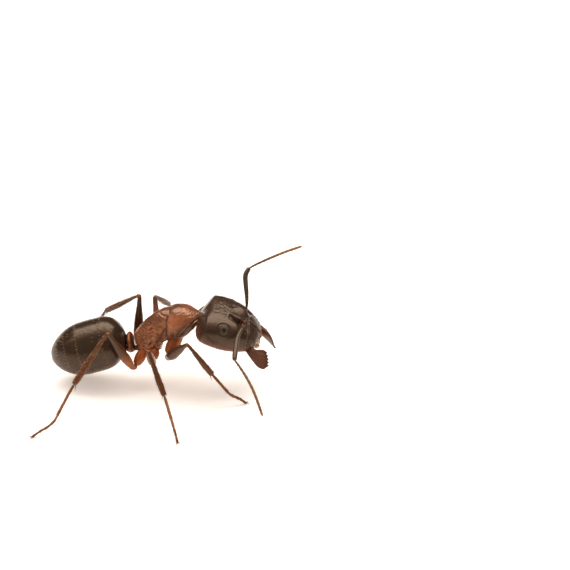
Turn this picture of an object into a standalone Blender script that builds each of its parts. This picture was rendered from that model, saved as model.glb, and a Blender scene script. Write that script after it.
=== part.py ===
"""A carpenter ant, a major worker with its jaws open, standing on six feet, life size.

The ant is drawn in millimetres and placed in metres. It faces +X, its left side is +Y and +Z is up.
Each soft-bodied form is drawn whole and parted with thin cuts where its plates meet, and each limb is
a run of tapered tubes parted at the joints. The finished model stands centred on the origin, feet at z = 0.
"""

import math
from dataclasses import dataclass

import bmesh
import bpy
from mathutils import Matrix, Vector

# ------------------------------------------------------------------ driving dimensions, in millimetres
MM = 0.001
CUT = 0.03  # the thin cut that parts one plate or limb segment from the next
LEAST_RADIUS = 0.25  # no limb or feeler is thinner than twice this
TOE_HEIGHT = 0.09  # of each toe's middle over the floor, so that the floor cuts a small flat on it

MESOSOMA_LENGTH = 4.28
MESOSOMA_PITCH = 29.9
WAIST = Vector((-1.04, 0.0, 2.17))  # where the petiole joins the trunk

HEAD_LENGTH = 3.92
HEAD_CENTRE = Vector((4.08, -0.14, 3.72))
HEAD_YAW, HEAD_PITCH, HEAD_ROLL = -4, 21, 10  # turned a little to the right, nodding, tilted
NECK_RADIUS = 0.32

EYE_PLACE = Vector((-0.25, 1.22, 0.55))  # on the left; the right eye mirrors it
EYE_RADII = Vector((0.47, 0.47, 0.47))  # a low dome: most of the ball lies inside the head
SOCKET_PLACE = Vector((0.76, 0.56, 1.00))  # where the left feeler leaves the face
MANDIBLE_PLACE = Vector((1.62, 1.12, -0.13))  # the left jaw's hinge
MANDIBLE_LENGTH = 1.48
JAW_TURNS = {-1: (-54, 10, 56), 1: (-20, 32, -35)}  # yaw, pitch, roll of the right jaw and of the left
MANDIBLE_THICKNESS = 0.34
MANDIBLE_TEETH = 5

SCAPE_LENGTH = 2.75
FLAGELLUM_LENGTH = 4.0
FEELER_RADIUS = 0.25

PETIOLE_CENTRE = Vector((-1.50, 0.0, 2.56))
PETIOLE_SIZE = Vector((0.44, 1.02, 1.28))  # the upright scale: thickness, width, height

GASTER_LENGTH = 4.58
GASTER_WIDTH = 3.20
GASTER_DEPTH = 2.98
GASTER_PITCH = 15.9
GASTER_FRONT = Vector((-1.78, 0.0, 2.82))
GASTER_PLATES = (0.27, 0.59, 0.76, 0.88)  # where one ring ends and the next begins, as shares of its length
GASTER_TILT = 2.0  # degrees the cuts between rings lean

SIDES = {"right": -1, "left": 1}

# ------------------------------------------------------------------ colours
COLOURS = {
    "black_cuticle": ((0.035, 0.022, 0.017), 0.28),
    "russet_cuticle": ((0.22, 0.075, 0.035), 0.35),
    "amber_cuticle": ((0.36, 0.10, 0.030), 0.35),
    "brown_limb": ((0.10, 0.042, 0.024), 0.40),
    "feeler_brown": ((0.075, 0.045, 0.033), 0.42),
    "eye": ((0.050, 0.040, 0.034), 0.25),
}


@dataclass(frozen=True)
class Limb:
    """One pair's lengths and thicknesses, in millimetres."""

    coxa: float
    femur: float
    tibia: float
    heel: float
    toe: float
    base: Vector
    coxa_radius: float
    femur_radius: float


@dataclass(frozen=True)
class Stance:
    """Where each segment of one leg points: (azimuth, elevation) in degrees, azimuth 0 ahead and 90 left."""

    coxa: tuple
    femur: tuple
    tibia: tuple
    heel: tuple
    toe_azimuth: float


LIMBS = {
    "fore": Limb(1.26, 3.14, 2.51, 1.58, 1.24, Vector((1.25, 0.52, 3.22)), 0.42, 0.35),
    "mid": Limb(0.95, 3.20, 2.73, 1.73, 1.41, Vector((0.00, 0.48, 2.70)), 0.33, 0.31),
    "hind": Limb(1.00, 3.50, 3.54, 2.70, 1.48, Vector((-0.75, 0.42, 2.30)), 0.33, 0.31),
}

STANCES = {
    ("right", "fore"): Stance((-147, -54), (-58, 38), (6, -56), (4, -54), 12),
    ("right", "mid"): Stance((-107, -54), (-92, 39), (-46, -61), (-72, -24), -70),
    ("right", "hind"): Stance((-136, -47), (-134, 55), (-146, -49), (-115, -28), -147),
    ("left", "fore"): Stance((156, -57), (45, 23), (35, -38), (52, -46), 66),
    ("left", "mid"): Stance((83, -69), (99, 39), (72, -37), (38, -58), 20),
    ("left", "hind"): Stance((139, -42), (26, 85), (141, -36), (130, -54), 124),
}

# (azimuth, elevation) of the scape, then of the feeler's whip at its root and at its tip
FEELERS = {
    "right": ((-100, -18), (-63, -13), (-54, -51)),
    "left": ((88, 43), (39, 8), (36, -1)),
}


# ------------------------------------------------------------------ small helpers
def heading(azimuth, elevation):
    """The unit vector that points that way."""
    a, e = math.radians(azimuth), math.radians(elevation)
    return Vector((math.cos(a) * math.cos(e), math.sin(a) * math.cos(e), math.sin(e)))


def turned(yaw=0.0, pitch=0.0, roll=0.0):
    """A rotation: roll about X, then nose down by pitch, then yaw about Z."""
    return (
        Matrix.Rotation(math.radians(yaw), 4, "Z")
        @ Matrix.Rotation(math.radians(pitch), 4, "Y")
        @ Matrix.Rotation(math.radians(roll), 4, "X")
    )


def blended(stations, t):
    """A smooth value at t from (place, value) stations in rising order."""
    if t <= stations[0][0]:
        return stations[0][1]
    for (t0, v0), (t1, v1) in zip(stations, stations[1:]):
        if t <= t1:
            s = (t - t0) / (t1 - t0)
            return v0 + (v1 - v0) * s * s * (3 - 2 * s)
    return stations[-1][1]


def rounded(t, share):
    """How far a blunt end has opened at t, when it is round over that share of the length."""
    return 1.0 if t >= share else math.sqrt(max(0.0, 1 - (1 - t / share) ** 2))


def bump(x, centre, spread):
    """A bell of height 1."""
    return math.exp(-(((x - centre) / spread) ** 2))


def material(name):
    colour, roughness = COLOURS[name]
    made = bpy.data.materials.get(name)
    if made is None:
        made = bpy.data.materials.new(name)
        made.use_nodes = True
        shader = made.node_tree.nodes["Principled BSDF"]
        shader.inputs["Base Color"].default_value = (*colour, 1.0)
        shader.inputs["Roughness"].default_value = roughness
        shader.inputs["Metallic"].default_value = 0.0
    return made


def add_object(name, bm, colour, collection, smooth=45.0):
    """Makes an object from a bmesh drawn in millimetres."""
    bmesh.ops.transform(bm, matrix=Matrix.Scale(MM, 4), verts=bm.verts)
    mesh = bpy.data.meshes.new(name)
    bm.to_mesh(mesh)
    bm.free()
    mesh.shade_smooth()
    mesh.set_sharp_from_angle(angle=math.radians(smooth))
    mesh.materials.append(material(colour))
    obj = bpy.data.objects.new(name, mesh)
    collection.objects.link(obj)
    return obj


# ------------------------------------------------------------------ round-bodied forms
@dataclass(frozen=True)
class Form:
    """A closed, mirror-symmetric body along X, from its rear at 0 to its front at length."""

    length: float
    rear_round: float
    front_round: float
    width: tuple  # half-width stations (place, mm)
    top: tuple  # height above the axis
    bottom: tuple  # depth below it
    fullness: float = 2.0  # 2 is an ellipse, more is boxier

    def drawn(self, sides, rings, relief=None):
        """The form as a bmesh. relief moves a point (share along, point) to another point."""
        bm = bmesh.new()
        bmesh.ops.create_uvsphere(bm, u_segments=sides, v_segments=rings, radius=1.0)
        bmesh.ops.transform(bm, matrix=Matrix.Rotation(math.pi / 2, 4, "Y"), verts=bm.verts)
        for vert in bm.verts:
            t = min(1.0, max(0.0, (vert.co.x + 1) / 2))
            ring = math.hypot(vert.co.y, vert.co.z)
            y, z = (vert.co.y / ring, vert.co.z / ring) if ring > 1e-6 else (0.0, 0.0)
            norm = (abs(y) ** self.fullness + abs(z) ** self.fullness) ** (1 / self.fullness) or 1.0
            y, z = y / norm, z / norm
            opened = rounded(t, self.rear_round) * rounded(1 - t, self.front_round)
            rise = blended(self.top, t) if z > 0 else blended(self.bottom, t)
            middle = 0.5 * (blended(self.top, t) - blended(self.bottom, t))
            height = z * rise * opened + middle * (1 - opened)
            point = Vector((t * self.length, y * blended(self.width, t) * opened, height))
            vert.co = relief(t, point) if relief else point
        bm.normal_update()
        return bm


def grown(bm, by):
    """The same body, thicker by that much all round."""
    bm.normal_update()
    steps = [vert.normal * by for vert in bm.verts]
    for vert, step in zip(bm.verts, steps):
        vert.co += step
    return bm


def halved(bm, point, normal):
    """Keeps the side of a plane that its normal points to, and closes the cut."""
    geometry = bm.verts[:] + bm.edges[:] + bm.faces[:]
    cut = bmesh.ops.bisect_plane(
        bm, geom=geometry, dist=1e-6, plane_co=point, plane_no=normal, clear_inner=True
    )
    rim = [item for item in cut["geom_cut"] if isinstance(item, bmesh.types.BMEdge)]
    bmesh.ops.holes_fill(bm, edges=rim, sides=0)
    bmesh.ops.triangulate(bm, faces=[f for f in bm.faces if len(f.verts) > 4])
    return bm


def slices(draw, places, length, tilts):
    """Parts a form along X at these places with thin cuts. draw() gives a fresh copy of the form each time.
    tilts leans each cut, in degrees, so that a plate's edge slants as the real one does."""
    ends = [-math.inf, *places, math.inf]
    leans = [0.0, *tilts, 0.0]
    made = []
    for i in range(len(ends) - 1):
        bm = draw()
        for k, side in ((i, 1), (i + 1, -1)):
            if math.isinf(ends[k]):
                continue
            lean = math.radians(leans[k])
            normal = Vector((math.cos(lean), 0.0, math.sin(lean)))
            halved(bm, Vector((ends[k] * length, 0, 0)) + normal * side * CUT / 2, normal * side)
        made.append(bm)
    return made


# ------------------------------------------------------------------ tubes
def tube(points, radii, sides=10):
    """A tapered, closed tube through the points, as a bmesh, from a bevelled poly curve."""
    curve = bpy.data.curves.new("tube", "CURVE")
    curve.dimensions = "3D"
    curve.bevel_depth = 1.0
    curve.bevel_resolution = max(0, (sides - 4) // 2)
    curve.use_fill_caps = True
    spline = curve.splines.new("POLY")
    spline.points.add(len(points) - 1)
    for place, point, radius in zip(spline.points, points, radii):
        place.co = (*point, 1.0)
        place.radius = radius
    holder = bpy.data.objects.new("tube", curve)
    bpy.context.scene.collection.objects.link(holder)
    graph = bpy.context.evaluated_depsgraph_get()
    mesh = bpy.data.meshes.new_from_object(holder.evaluated_get(graph))
    bpy.data.objects.remove(holder)
    bm = bmesh.new()
    bm.from_mesh(mesh)
    bpy.data.meshes.remove(mesh)
    bpy.data.curves.remove(curve)
    bmesh.ops.remove_doubles(bm, verts=bm.verts, dist=1e-4)
    bmesh.ops.recalc_face_normals(bm, faces=bm.faces)
    return bm


def between(points, radii, steps):
    """More points on the same run, with the radii eased, so that a tube swells and tapers smoothly."""
    run, sizes = [], []
    for i in range(len(points) - 1):
        for k in range(steps):
            s = k / steps
            run.append(points[i].lerp(points[i + 1], s))
            sizes.append(radii[i] + (radii[i + 1] - radii[i]) * s * s * (3 - 2 * s))
    return run + [points[-1]], sizes + [radii[-1]]


def arc(start, first, last, length, steps):
    """Points along a run that starts towards first and ends towards last."""
    points = [start.copy()]
    for i in range(steps):
        way = first.lerp(last, (i + 0.5) / steps).normalized()
        points.append(points[-1] + way * length / steps)
    return points


def mitred(bm, joint, along, beyond):
    """Slides a tube's end onto the plane that halves its bend with the next segment, less half the cut."""
    normal = (along + beyond).normalized()
    for vert in bm.verts:
        if abs((vert.co - joint).dot(along)) < 1e-3:
            aside = (vert.co - joint).dot(normal)
            vert.co -= along * (aside + CUT / 2) / along.dot(normal)


def jointed(points, radii, before=None, after=None, sides=10):
    """A tube mitred at its ends, so that it meets the segment before it and the one after across a thin gap."""
    bm = tube(points, radii, sides)
    if before is not None:
        mitred(bm, points[0], (points[0] - points[1]).normalized(), -before)
    if after is not None:
        mitred(bm, points[-1], (points[-1] - points[-2]).normalized(), after)
    return bm


# ------------------------------------------------------------------ booleans
def carved(obj, cutter_bm, collection, operation="DIFFERENCE"):
    """Cuts one body from another, or joins it, with a hidden helper."""
    cutter = add_object(obj.name + "_cutter", cutter_bm, "black_cuticle", collection)
    cutter.hide_render = True
    cutter.display_type = "WIRE"
    modifier = obj.modifiers.new(operation.title(), "BOOLEAN")
    modifier.operation = operation
    modifier.solver = "EXACT"
    modifier.object = cutter
    return obj


def placed(bm, matrix):
    bmesh.ops.transform(bm, matrix=matrix, verts=bm.verts)
    return bm


# ------------------------------------------------------------------ trunk
TRUNK = Form(
    length=MESOSOMA_LENGTH,
    rear_round=0.10,
    front_round=0.16,
    width=((0.0, 0.60), (0.22, 0.72), (0.45, 0.80), (0.68, 1.06), (0.84, 0.98), (1.0, 0.55)),
    top=((0.0, 0.92), (0.22, 1.30), (0.45, 1.54), (0.72, 1.40), (0.86, 1.12), (1.0, 0.46)),
    bottom=((0.0, 0.34), (0.24, 0.50), (0.42, 0.10), (0.48, 0.14), (0.64, 0.60), (0.84, 0.34), (1.0, 0.02)),
    fullness=2.3,
)
TRUNK_PLATES = (("propodeum", 0.0), ("mesonotum", 0.36), ("pronotum", 0.60))
TRUNK_TILTS = (10.0, -18.0)  # each seam leans, its top to the rear or to the front


def trunk_relief(t, point):
    """The waist between the plates: a shallow dip across the back, and a pinch at the flanks."""
    dip = 0.07 * bump(t, 0.36, 0.035) + 0.05 * bump(t, 0.60, 0.03)
    pinch = 1 - 0.16 * bump(t, 0.40, 0.06) - 0.05 * bump(t, 0.60, 0.035)
    drop = dip if point.z > 0.5 else 0.0
    return Vector((point.x, point.y * pinch, point.z - drop))


def trunk_place():
    return Matrix.Translation(WAIST) @ turned(pitch=-MESOSOMA_PITCH)


def draw_trunk(sides=26, rings=22):
    return TRUNK.drawn(sides, rings, trunk_relief)


def build_trunk(parts):
    pieces = slices(draw_trunk, [p for _, p in TRUNK_PLATES[1:]], MESOSOMA_LENGTH, TRUNK_TILTS)
    return {
        name: add_object(name, placed(bm, trunk_place()), "russet_cuticle", parts)
        for (name, _), bm in zip(TRUNK_PLATES, pieces)
    }


def trunk_cutter():
    """The whole trunk, grown by the thin gap, that the pieces on it are cut back by."""
    return placed(grown(draw_trunk(22, 20), CUT), trunk_place())


# ------------------------------------------------------------------ head
HEAD = Form(
    length=HEAD_LENGTH,
    rear_round=0.19,
    front_round=0.16,
    width=((0.0, 1.54), (0.14, 1.76), (0.30, 1.86), (0.50, 1.80), (0.72, 1.56), (0.88, 1.28), (1.0, 1.02)),
    top=((0.0, 0.78), (0.20, 1.04), (0.38, 1.18), (0.58, 1.20), (0.78, 0.98), (0.92, 0.62), (1.0, 0.34)),
    bottom=((0.0, 0.86), (0.20, 1.06), (0.44, 1.14), (0.66, 1.00), (0.86, 0.70), (1.0, 0.44)),
    fullness=2.35,
)


def head_relief(t, point):
    """The heart shape behind, the raised forehead between the feelers, their pits, and the clypeus."""
    x, y, z = point
    side = abs(y)
    notch = 0.26 * bump(side, 0.0, 0.95) * max(0.0, 1 - t / 0.34) ** 1.5
    x += notch * HEAD_LENGTH / 3.6
    if z > 0.2:
        z += 0.10 * bump(t, 0.66, 0.13) * bump(side, 0.30, 0.26)  # frontal lobes
        z -= 0.14 * bump(t, 0.70, 0.07) * bump(side, 0.68, 0.17)  # pits
        z += 0.07 * bump(t, 0.90, 0.09) * bump(side, 0.0, 0.55)  # clypeus
    if t > 0.80:
        x += 0.10 * bump(side, 0.0, 0.60) * (t - 0.80) / 0.20
    return Vector((x - HEAD_LENGTH / 2, y, z))


def head_place():
    return Matrix.Translation(HEAD_CENTRE) @ turned(HEAD_YAW, HEAD_PITCH, HEAD_ROLL)


def draw_head(sides=30, rings=26):
    return placed(HEAD.drawn(sides, rings, head_relief), head_place())


def on_head(local, side):
    """A place on the head, mirrored to that side."""
    return head_place() @ Vector((local.x, local.y * side, local.z))


def draw_eye(side, by=0.0, detail=(14, 10)):
    """The eye: a low dome that faces out and up, set into the head."""
    bm = bmesh.new()
    bmesh.ops.create_uvsphere(bm, u_segments=detail[0], v_segments=detail[1], radius=1.0)
    radii = EYE_RADII + Vector((by, by, by))
    bmesh.ops.transform(bm, matrix=Matrix.Diagonal((*radii, 1.0)), verts=bm.verts)
    local = Matrix.Translation((EYE_PLACE.x, EYE_PLACE.y * side, EYE_PLACE.z))
    return placed(bm, head_place() @ local)


def build_head(parts, cutters):
    head = add_object("head", draw_head(), "black_cuticle", parts)
    for name, side in SIDES.items():
        carved(head, draw_eye(side, CUT), cutters)
        add_object("eye_" + name, draw_eye(side), "eye", parts)
    return head


def head_cutter():
    return grown(draw_head(24, 22), CUT)


# ------------------------------------------------------------------ jaws
def jaw_outline():
    """One jaw laid flat, hinge at the origin, pointing +X, its toothed edge on the -Y side, inwards."""
    length, teeth = MANDIBLE_LENGTH, MANDIBLE_TEETH
    heel = Vector((0.62 * length, -0.40 * length, 0))
    tip = Vector((length, 0.16 * length, 0))
    edge = tip - heel
    out = Vector((edge.y, -edge.x, 0)).normalized()
    points = [Vector((-0.20, -0.24, 0)), Vector((0.24 * length, -0.24, 0)), heel]
    for i in range(teeth):
        depth = 0.12 + 0.04 * (i == teeth - 1)
        points.append(heel + edge * ((i + 0.55) / teeth) + out * depth)
        if i < teeth - 1:
            points.append(heel + edge * ((i + 1.0) / teeth) + out * 0.01)
    points.append(tip + edge.normalized() * 0.02)
    points += [Vector((0.80 * length, 0.30 * length, 0)), Vector((0.45 * length, 0.27 * length, 0))]
    points.append(Vector((-0.20, 0.26, 0)))
    return points


def draw_jaw(side, matrix):
    """A toothed, curved blade: the outline given thickness, hollowed inwards and thinned to its edge."""
    bm = bmesh.new()
    ring = [bm.verts.new(p) for p in jaw_outline()]
    face = bm.faces.new(ring)
    lifted = bmesh.ops.extrude_face_region(bm, geom=[face])
    top = [item for item in lifted["geom"] if isinstance(item, bmesh.types.BMVert)]
    bmesh.ops.translate(bm, vec=(0, 0, MANDIBLE_THICKNESS), verts=top)
    bmesh.ops.translate(bm, vec=(0, 0, -MANDIBLE_THICKNESS / 2), verts=bm.verts)
    for vert in bm.verts:
        share = max(0.0, vert.co.x / MANDIBLE_LENGTH)
        vert.co.z *= 1.25 - 0.55 * share
        vert.co.z -= 0.40 * share * share
        vert.co.y *= side
    bmesh.ops.recalc_face_normals(bm, faces=bm.faces)
    bmesh.ops.triangulate(bm, faces=bm.faces)
    return placed(bm, matrix)


def jaw_place(side):
    """The jaw's frame: the right one swung out with its flat outwards, the left one turned in and down."""
    return Matrix.Translation(on_head(MANDIBLE_PLACE, side)) @ turned(*JAW_TURNS[side])


def build_jaws(parts, cutters):
    for name, side in SIDES.items():
        jaw = add_object("mandible_" + name, draw_jaw(side, jaw_place(side)), "brown_limb", parts)
        carved(jaw, head_cutter(), cutters)


# ------------------------------------------------------------------ feelers
def build_feelers(parts, cutters):
    for name, side in SIDES.items():
        scape, root, tip = (heading(*way) for way in FEELERS[name])
        socket = on_head(SOCKET_PLACE, side)
        elbow = socket + scape * SCAPE_LENGTH
        middle = socket.lerp(elbow, 0.5) + Vector((0.10, 0.0, 0.10))
        points, radii = between([socket, middle, elbow], [FEELER_RADIUS] * 3, 3)
        shaft = jointed(points, radii, after=root)
        piece = add_object("scape_" + name, shaft, "feeler_brown", parts)
        carved(piece, head_cutter(), cutters)
        whip = arc(elbow, root, tip, FLAGELLUM_LENGTH, 10)
        sizes = [FEELER_RADIUS] * (len(whip) - 1) + [0.6 * FEELER_RADIUS]
        before = (elbow - points[-2]).normalized()
        add_object("flagellum_" + name, jointed(whip, sizes, before=before), "feeler_brown", parts)


# ------------------------------------------------------------------ waist, neck and gaster
GASTER = Form(
    length=GASTER_LENGTH,
    rear_round=0.46,
    front_round=0.30,
    width=((0.0, 1.40), (0.35, 1.52), (0.60, 1.55), (1.0, 1.50)),
    top=((0.0, 1.24), (0.35, 1.42), (0.62, 1.48), (1.0, 1.44)),
    bottom=((0.0, 1.32), (0.30, 1.48), (0.62, 1.52), (1.0, 1.34)),
)


def gaster_place():
    return Matrix.Translation(GASTER_FRONT) @ turned(pitch=-GASTER_PITCH) @ Matrix.Translation((-GASTER_LENGTH, 0, 0))


def gaster_relief(_, point):
    return Vector((point.x, point.y * GASTER_WIDTH / 3.1, point.z * GASTER_DEPTH / 2.94))


def draw_gaster(sides=26, rings=20):
    return GASTER.drawn(sides, rings, gaster_relief)


def build_gaster(parts):
    places = [1 - share for share in reversed(GASTER_PLATES)]
    pieces = slices(draw_gaster, places, GASTER_LENGTH, [GASTER_TILT] * len(places))
    for i, bm in enumerate(reversed(pieces), start=1):
        add_object(f"gaster_ring_{i}", placed(bm, gaster_place()), "black_cuticle", parts)


def draw_petiole():
    """The upright scale, thin and leaf-like, wider at its foot."""
    bm = bmesh.new()
    bmesh.ops.create_uvsphere(bm, u_segments=18, v_segments=14, radius=0.5)
    for vert in bm.verts:
        rise = vert.co.z + 0.5
        vert.co.x *= PETIOLE_SIZE.x * (1.35 - 0.55 * rise)
        vert.co.y *= PETIOLE_SIZE.y * (1.05 - 0.15 * rise)
        vert.co.z *= PETIOLE_SIZE.z
        vert.co.x -= 0.16 * (rise - 0.5)
    return placed(bm, Matrix.Translation(PETIOLE_CENTRE))


def build_waist(parts, cutters):
    petiole = add_object("petiole", draw_petiole(), "amber_cuticle", parts)
    foot = PETIOLE_CENTRE + Vector((0.0, 0.0, -0.36))
    stalk = [WAIST + Vector((0.30, 0.0, 0.10)), foot, GASTER_FRONT + Vector((-0.35, 0.0, -0.55))]
    points, radii = between(stalk, [0.27, 0.25, 0.25], 2)
    carved(petiole, tube(points, radii, 12), cutters, "UNION")
    carved(petiole, trunk_cutter(), cutters)
    gaster = placed(grown(draw_gaster(22, 20), CUT), gaster_place())
    carved(petiole, gaster, cutters)


def build_neck(parts, cutters):
    nape = on_head(Vector((-0.90, 0, -0.10)), 1)
    collar = trunk_place() @ Vector((0.90 * MESOSOMA_LENGTH, 0, 0.30))
    points, radii = between([collar, nape], [NECK_RADIUS * 1.15, NECK_RADIUS], 2)
    neck = add_object("neck", tube(points, radii, 12), "russet_cuticle", parts)
    carved(neck, trunk_cutter(), cutters)
    carved(neck, head_cutter(), cutters)


# ------------------------------------------------------------------ legs
def leg_points(limb, stance, side):
    """The joints of one leg: hip, trochanter's two ends, knee, ankle, heel and toe."""
    hip = Vector((limb.base.x, limb.base.y * side, limb.base.z))
    coxa, femur, tibia, heel = (
        heading(*way) for way in (stance.coxa, stance.femur, stance.tibia, stance.heel)
    )
    trochanter = hip + coxa * limb.coxa
    turn = (coxa + femur + heading(stance.femur[0], 0) * 0.8).normalized()
    root = trochanter + turn * 0.30
    knee = trochanter + femur * limb.femur
    ankle = knee + tibia * limb.tibia
    sole = ankle + heel * limb.heel
    fall = min(0.98, (sole.z - TOE_HEIGHT) / limb.toe)
    toe = sole + heading(stance.toe_azimuth, -math.degrees(math.asin(fall))) * limb.toe
    return hip, trochanter, root, knee, ankle, sole, toe


def swell(start, end, radii, steps=2):
    """A straight run from start to end that takes these radii in turn."""
    count = len(radii) - 1
    points = [start.lerp(end, i / count) for i in range(count + 1)]
    return between(points, list(radii), steps)


def build_leg(side_name, pair, parts, cutters):
    side = SIDES[side_name]
    limb = LIMBS[pair]
    hip, trochanter, root, knee, ankle, sole, toe = leg_points(limb, STANCES[side_name, pair], side)
    label = f"{side_name}_{pair}"
    thin = LEAST_RADIUS
    turn = (root - trochanter).normalized()
    down = (trochanter - hip).normalized()
    shin = (ankle - knee).normalized()
    thigh = (knee - root).normalized()
    foot = (sole - ankle).normalized()

    inside = hip - down * 0.45
    wide = limb.coxa_radius
    points, radii = swell(inside, trochanter, (0.8 * wide, wide, 0.9 * wide, thin * 1.05))
    coxa = add_object("coxa_" + label, jointed(points, radii, after=turn, sides=12), "amber_cuticle", parts)
    carved(coxa, trunk_cutter(), cutters)

    stout = limb.femur_radius
    points, radii = swell(root, knee, (0.95 * thin, stout, 0.95 * stout, thin, thin))
    points, radii = [trochanter, *points], [thin, *radii]
    femur = jointed(points, radii, before=down, after=shin, sides=12)
    add_object("femur_" + label, femur, "brown_limb", parts)

    points, radii = swell(knee, ankle, (thin, thin * 1.04, thin * 1.04, thin))
    add_object("tibia_" + label, jointed(points, radii, before=thigh, after=foot), "brown_limb", parts)

    points = [ankle, ankle.lerp(sole, 0.5), sole, sole.lerp(toe, 0.5), toe]
    tarsus = jointed(points, [thin] * 4 + [0.9 * thin], before=shin)
    halved(tarsus, Vector((0, 0, 0)), Vector((0, 0, 1)))
    add_object("tarsus_" + label, tarsus, "brown_limb", parts)


# ------------------------------------------------------------------ the whole ant
def centred(parts, cutters):
    """Hangs everything on one empty that puts the middle of the footprint at the origin."""
    bpy.context.view_layer.update()
    graph = bpy.context.evaluated_depsgraph_get()
    corners = []
    for obj in parts.objects:
        shape = obj.evaluated_get(graph)
        corners += [shape.matrix_world @ Vector(corner) for corner in shape.bound_box]
    low = [min(c[i] for c in corners) for i in range(3)]
    high = [max(c[i] for c in corners) for i in range(3)]
    ant = bpy.data.objects.new("ant", None)
    bpy.context.scene.collection.objects.link(ant)
    for obj in [*parts.objects, *cutters.objects]:
        obj.parent = ant
    ant.location = (-(low[0] + high[0]) / 2, -(low[1] + high[1]) / 2, -low[2])


def main():
    for obj in list(bpy.data.objects):
        bpy.data.objects.remove(obj)
    scene = bpy.context.scene
    parts = bpy.data.collections.new("carpenter_ant")
    cutters = bpy.data.collections.new("cutters")
    cutters.hide_render = True
    scene.collection.children.link(parts)
    scene.collection.children.link(cutters)

    build_trunk(parts)
    build_head(parts, cutters)
    build_neck(parts, cutters)
    build_jaws(parts, cutters)
    build_feelers(parts, cutters)
    build_waist(parts, cutters)
    build_gaster(parts)
    for side_name, pair in STANCES:
        build_leg(side_name, pair, parts, cutters)
    centred(parts, cutters)


main()
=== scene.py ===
"""A carpenter ant, a major worker, in its finished cuticle, eyes and bristles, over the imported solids.

Every form is drawn in millimetres in its own frame, where +X is ahead and +Z is up, seated on the solids it
stands for, and scaled to metres last. Limbs follow the middle lines of their solids at their true thickness.
"""

import logging
import math
from dataclasses import dataclass, field
from enum import Enum
from typing import Callable, Sequence

import bmesh
import bpy
import numpy as np
from mathutils import Matrix, Vector
from mathutils.bvhtree import BVHTree


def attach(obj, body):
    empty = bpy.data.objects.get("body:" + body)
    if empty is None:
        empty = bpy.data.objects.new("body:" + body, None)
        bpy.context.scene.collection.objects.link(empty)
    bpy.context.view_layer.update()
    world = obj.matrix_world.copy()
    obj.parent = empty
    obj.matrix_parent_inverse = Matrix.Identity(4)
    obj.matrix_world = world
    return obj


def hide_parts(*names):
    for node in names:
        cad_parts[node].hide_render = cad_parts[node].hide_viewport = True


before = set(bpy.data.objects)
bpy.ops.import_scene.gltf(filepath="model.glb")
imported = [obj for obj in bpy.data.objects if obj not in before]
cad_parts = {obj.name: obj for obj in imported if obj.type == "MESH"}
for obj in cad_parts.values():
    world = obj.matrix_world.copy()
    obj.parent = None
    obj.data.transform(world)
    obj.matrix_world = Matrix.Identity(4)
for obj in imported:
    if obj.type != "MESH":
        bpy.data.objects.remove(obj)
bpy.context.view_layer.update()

logging.basicConfig(level=logging.INFO, format="%(message)s")
log = logging.getLogger("ant")

MM = 0.001
BODY = "root"
Array = np.ndarray
Stations = Sequence[tuple[float, float]]
Colour = tuple[float, float, float]


class Side(Enum):
    """The ant's right and left, as the sign of Y."""

    RIGHT = -1
    LEFT = 1

    @property
    def word(self) -> str:
        """The side's name in node names."""
        return self.name.lower()


class Pair(Enum):
    """The three pairs of legs, by the word in node names."""

    FORE = "fore"
    MID = "mid"
    HIND = "hind"


class Slot(Enum):
    """The record's material slots."""

    BLACK = "black_cuticle"
    RUSSET = "russet_cuticle"
    AMBER = "amber_cuticle"
    LIMB = "brown_limb"
    FEELER = "feeler_brown"
    EYE = "eye"


# ---- measuring the solids
def points_of(*nodes: str) -> Array:
    """The vertices of some CAD nodes.

    Args:
        nodes: Node names.

    Returns:
        Their places, in millimetres, one row each.
    """
    rows = [np.array([v.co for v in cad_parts[n].data.vertices]) for n in nodes]
    return np.concatenate(rows) / MM


def box_of(*nodes: str) -> tuple[Array, Array]:
    """The lowest and highest corner of some CAD nodes together, in millimetres."""
    points = points_of(*nodes)
    return points.min(axis=0), points.max(axis=0)


def joint_of(first: str, second: str, reach: float = 0.07) -> Array:
    """The middle of the thin cut between two neighbouring solids.

    Args:
        first: The node whose end is read.
        second: Its neighbour.
        reach: How near the neighbour a vertex lies to count, in millimetres.

    Returns:
        The joint's place in millimetres.
    """
    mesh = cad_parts[second].data
    tree = BVHTree.FromPolygons([v.co / MM for v in mesh.vertices], [p.vertices for p in mesh.polygons])
    near = [p for p in points_of(first) if tree.find_nearest(Vector(p))[3] < reach]
    return np.unique(np.round(near, 4), axis=0).mean(axis=0)


def far_end_of(points: Array, start: Array, share: float) -> Array:
    """The middle of the vertices that lie furthest from a solid's start.

    Args:
        points: The solid's vertices.
        start: Where distances are taken from.
        share: The share of the greatest distance past which a vertex counts.

    Returns:
        Their mean place, in millimetres.
    """
    reach = np.linalg.norm(points - start, axis=1)
    return points[reach > share * reach.max()].mean(axis=0)


def section_of(node: str, place: Array, along: Array) -> Array:
    """The middle of a solid's cross-section.

    Args:
        node: The CAD node.
        place: A point on the cutting plane, in millimetres.
        along: The plane's normal.

    Returns:
        The middle of the cut, in millimetres.
    """
    bm = bmesh.new()
    bm.from_mesh(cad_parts[node].data)
    geometry = bm.verts[:] + bm.edges[:] + bm.faces[:]
    cut = bmesh.ops.bisect_plane(bm, geom=geometry, dist=1e-9, plane_co=Vector(place) * MM, plane_no=along)
    ring = [item.co / MM for item in cut["geom_cut"] if isinstance(item, bmesh.types.BMVert)]
    bm.free()
    return np.array(ring).mean(axis=0) if ring else np.asarray(place)


def core_of(node: str, start: Array, end: Array, shares: Sequence[float]) -> list[Array]:
    """Points on a tube-shaped solid's middle line, between its two ends.

    Args:
        node: The CAD node.
        start: Its first joint.
        end: Its last joint.
        shares: Where to cut it, as shares of the straight line between the joints.

    Returns:
        The start, the middle of each cut, and the end.
    """
    along = (end - start) / np.linalg.norm(end - start)
    return [start, *(section_of(node, start + (end - start) * s, along) for s in shares), end]


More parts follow.
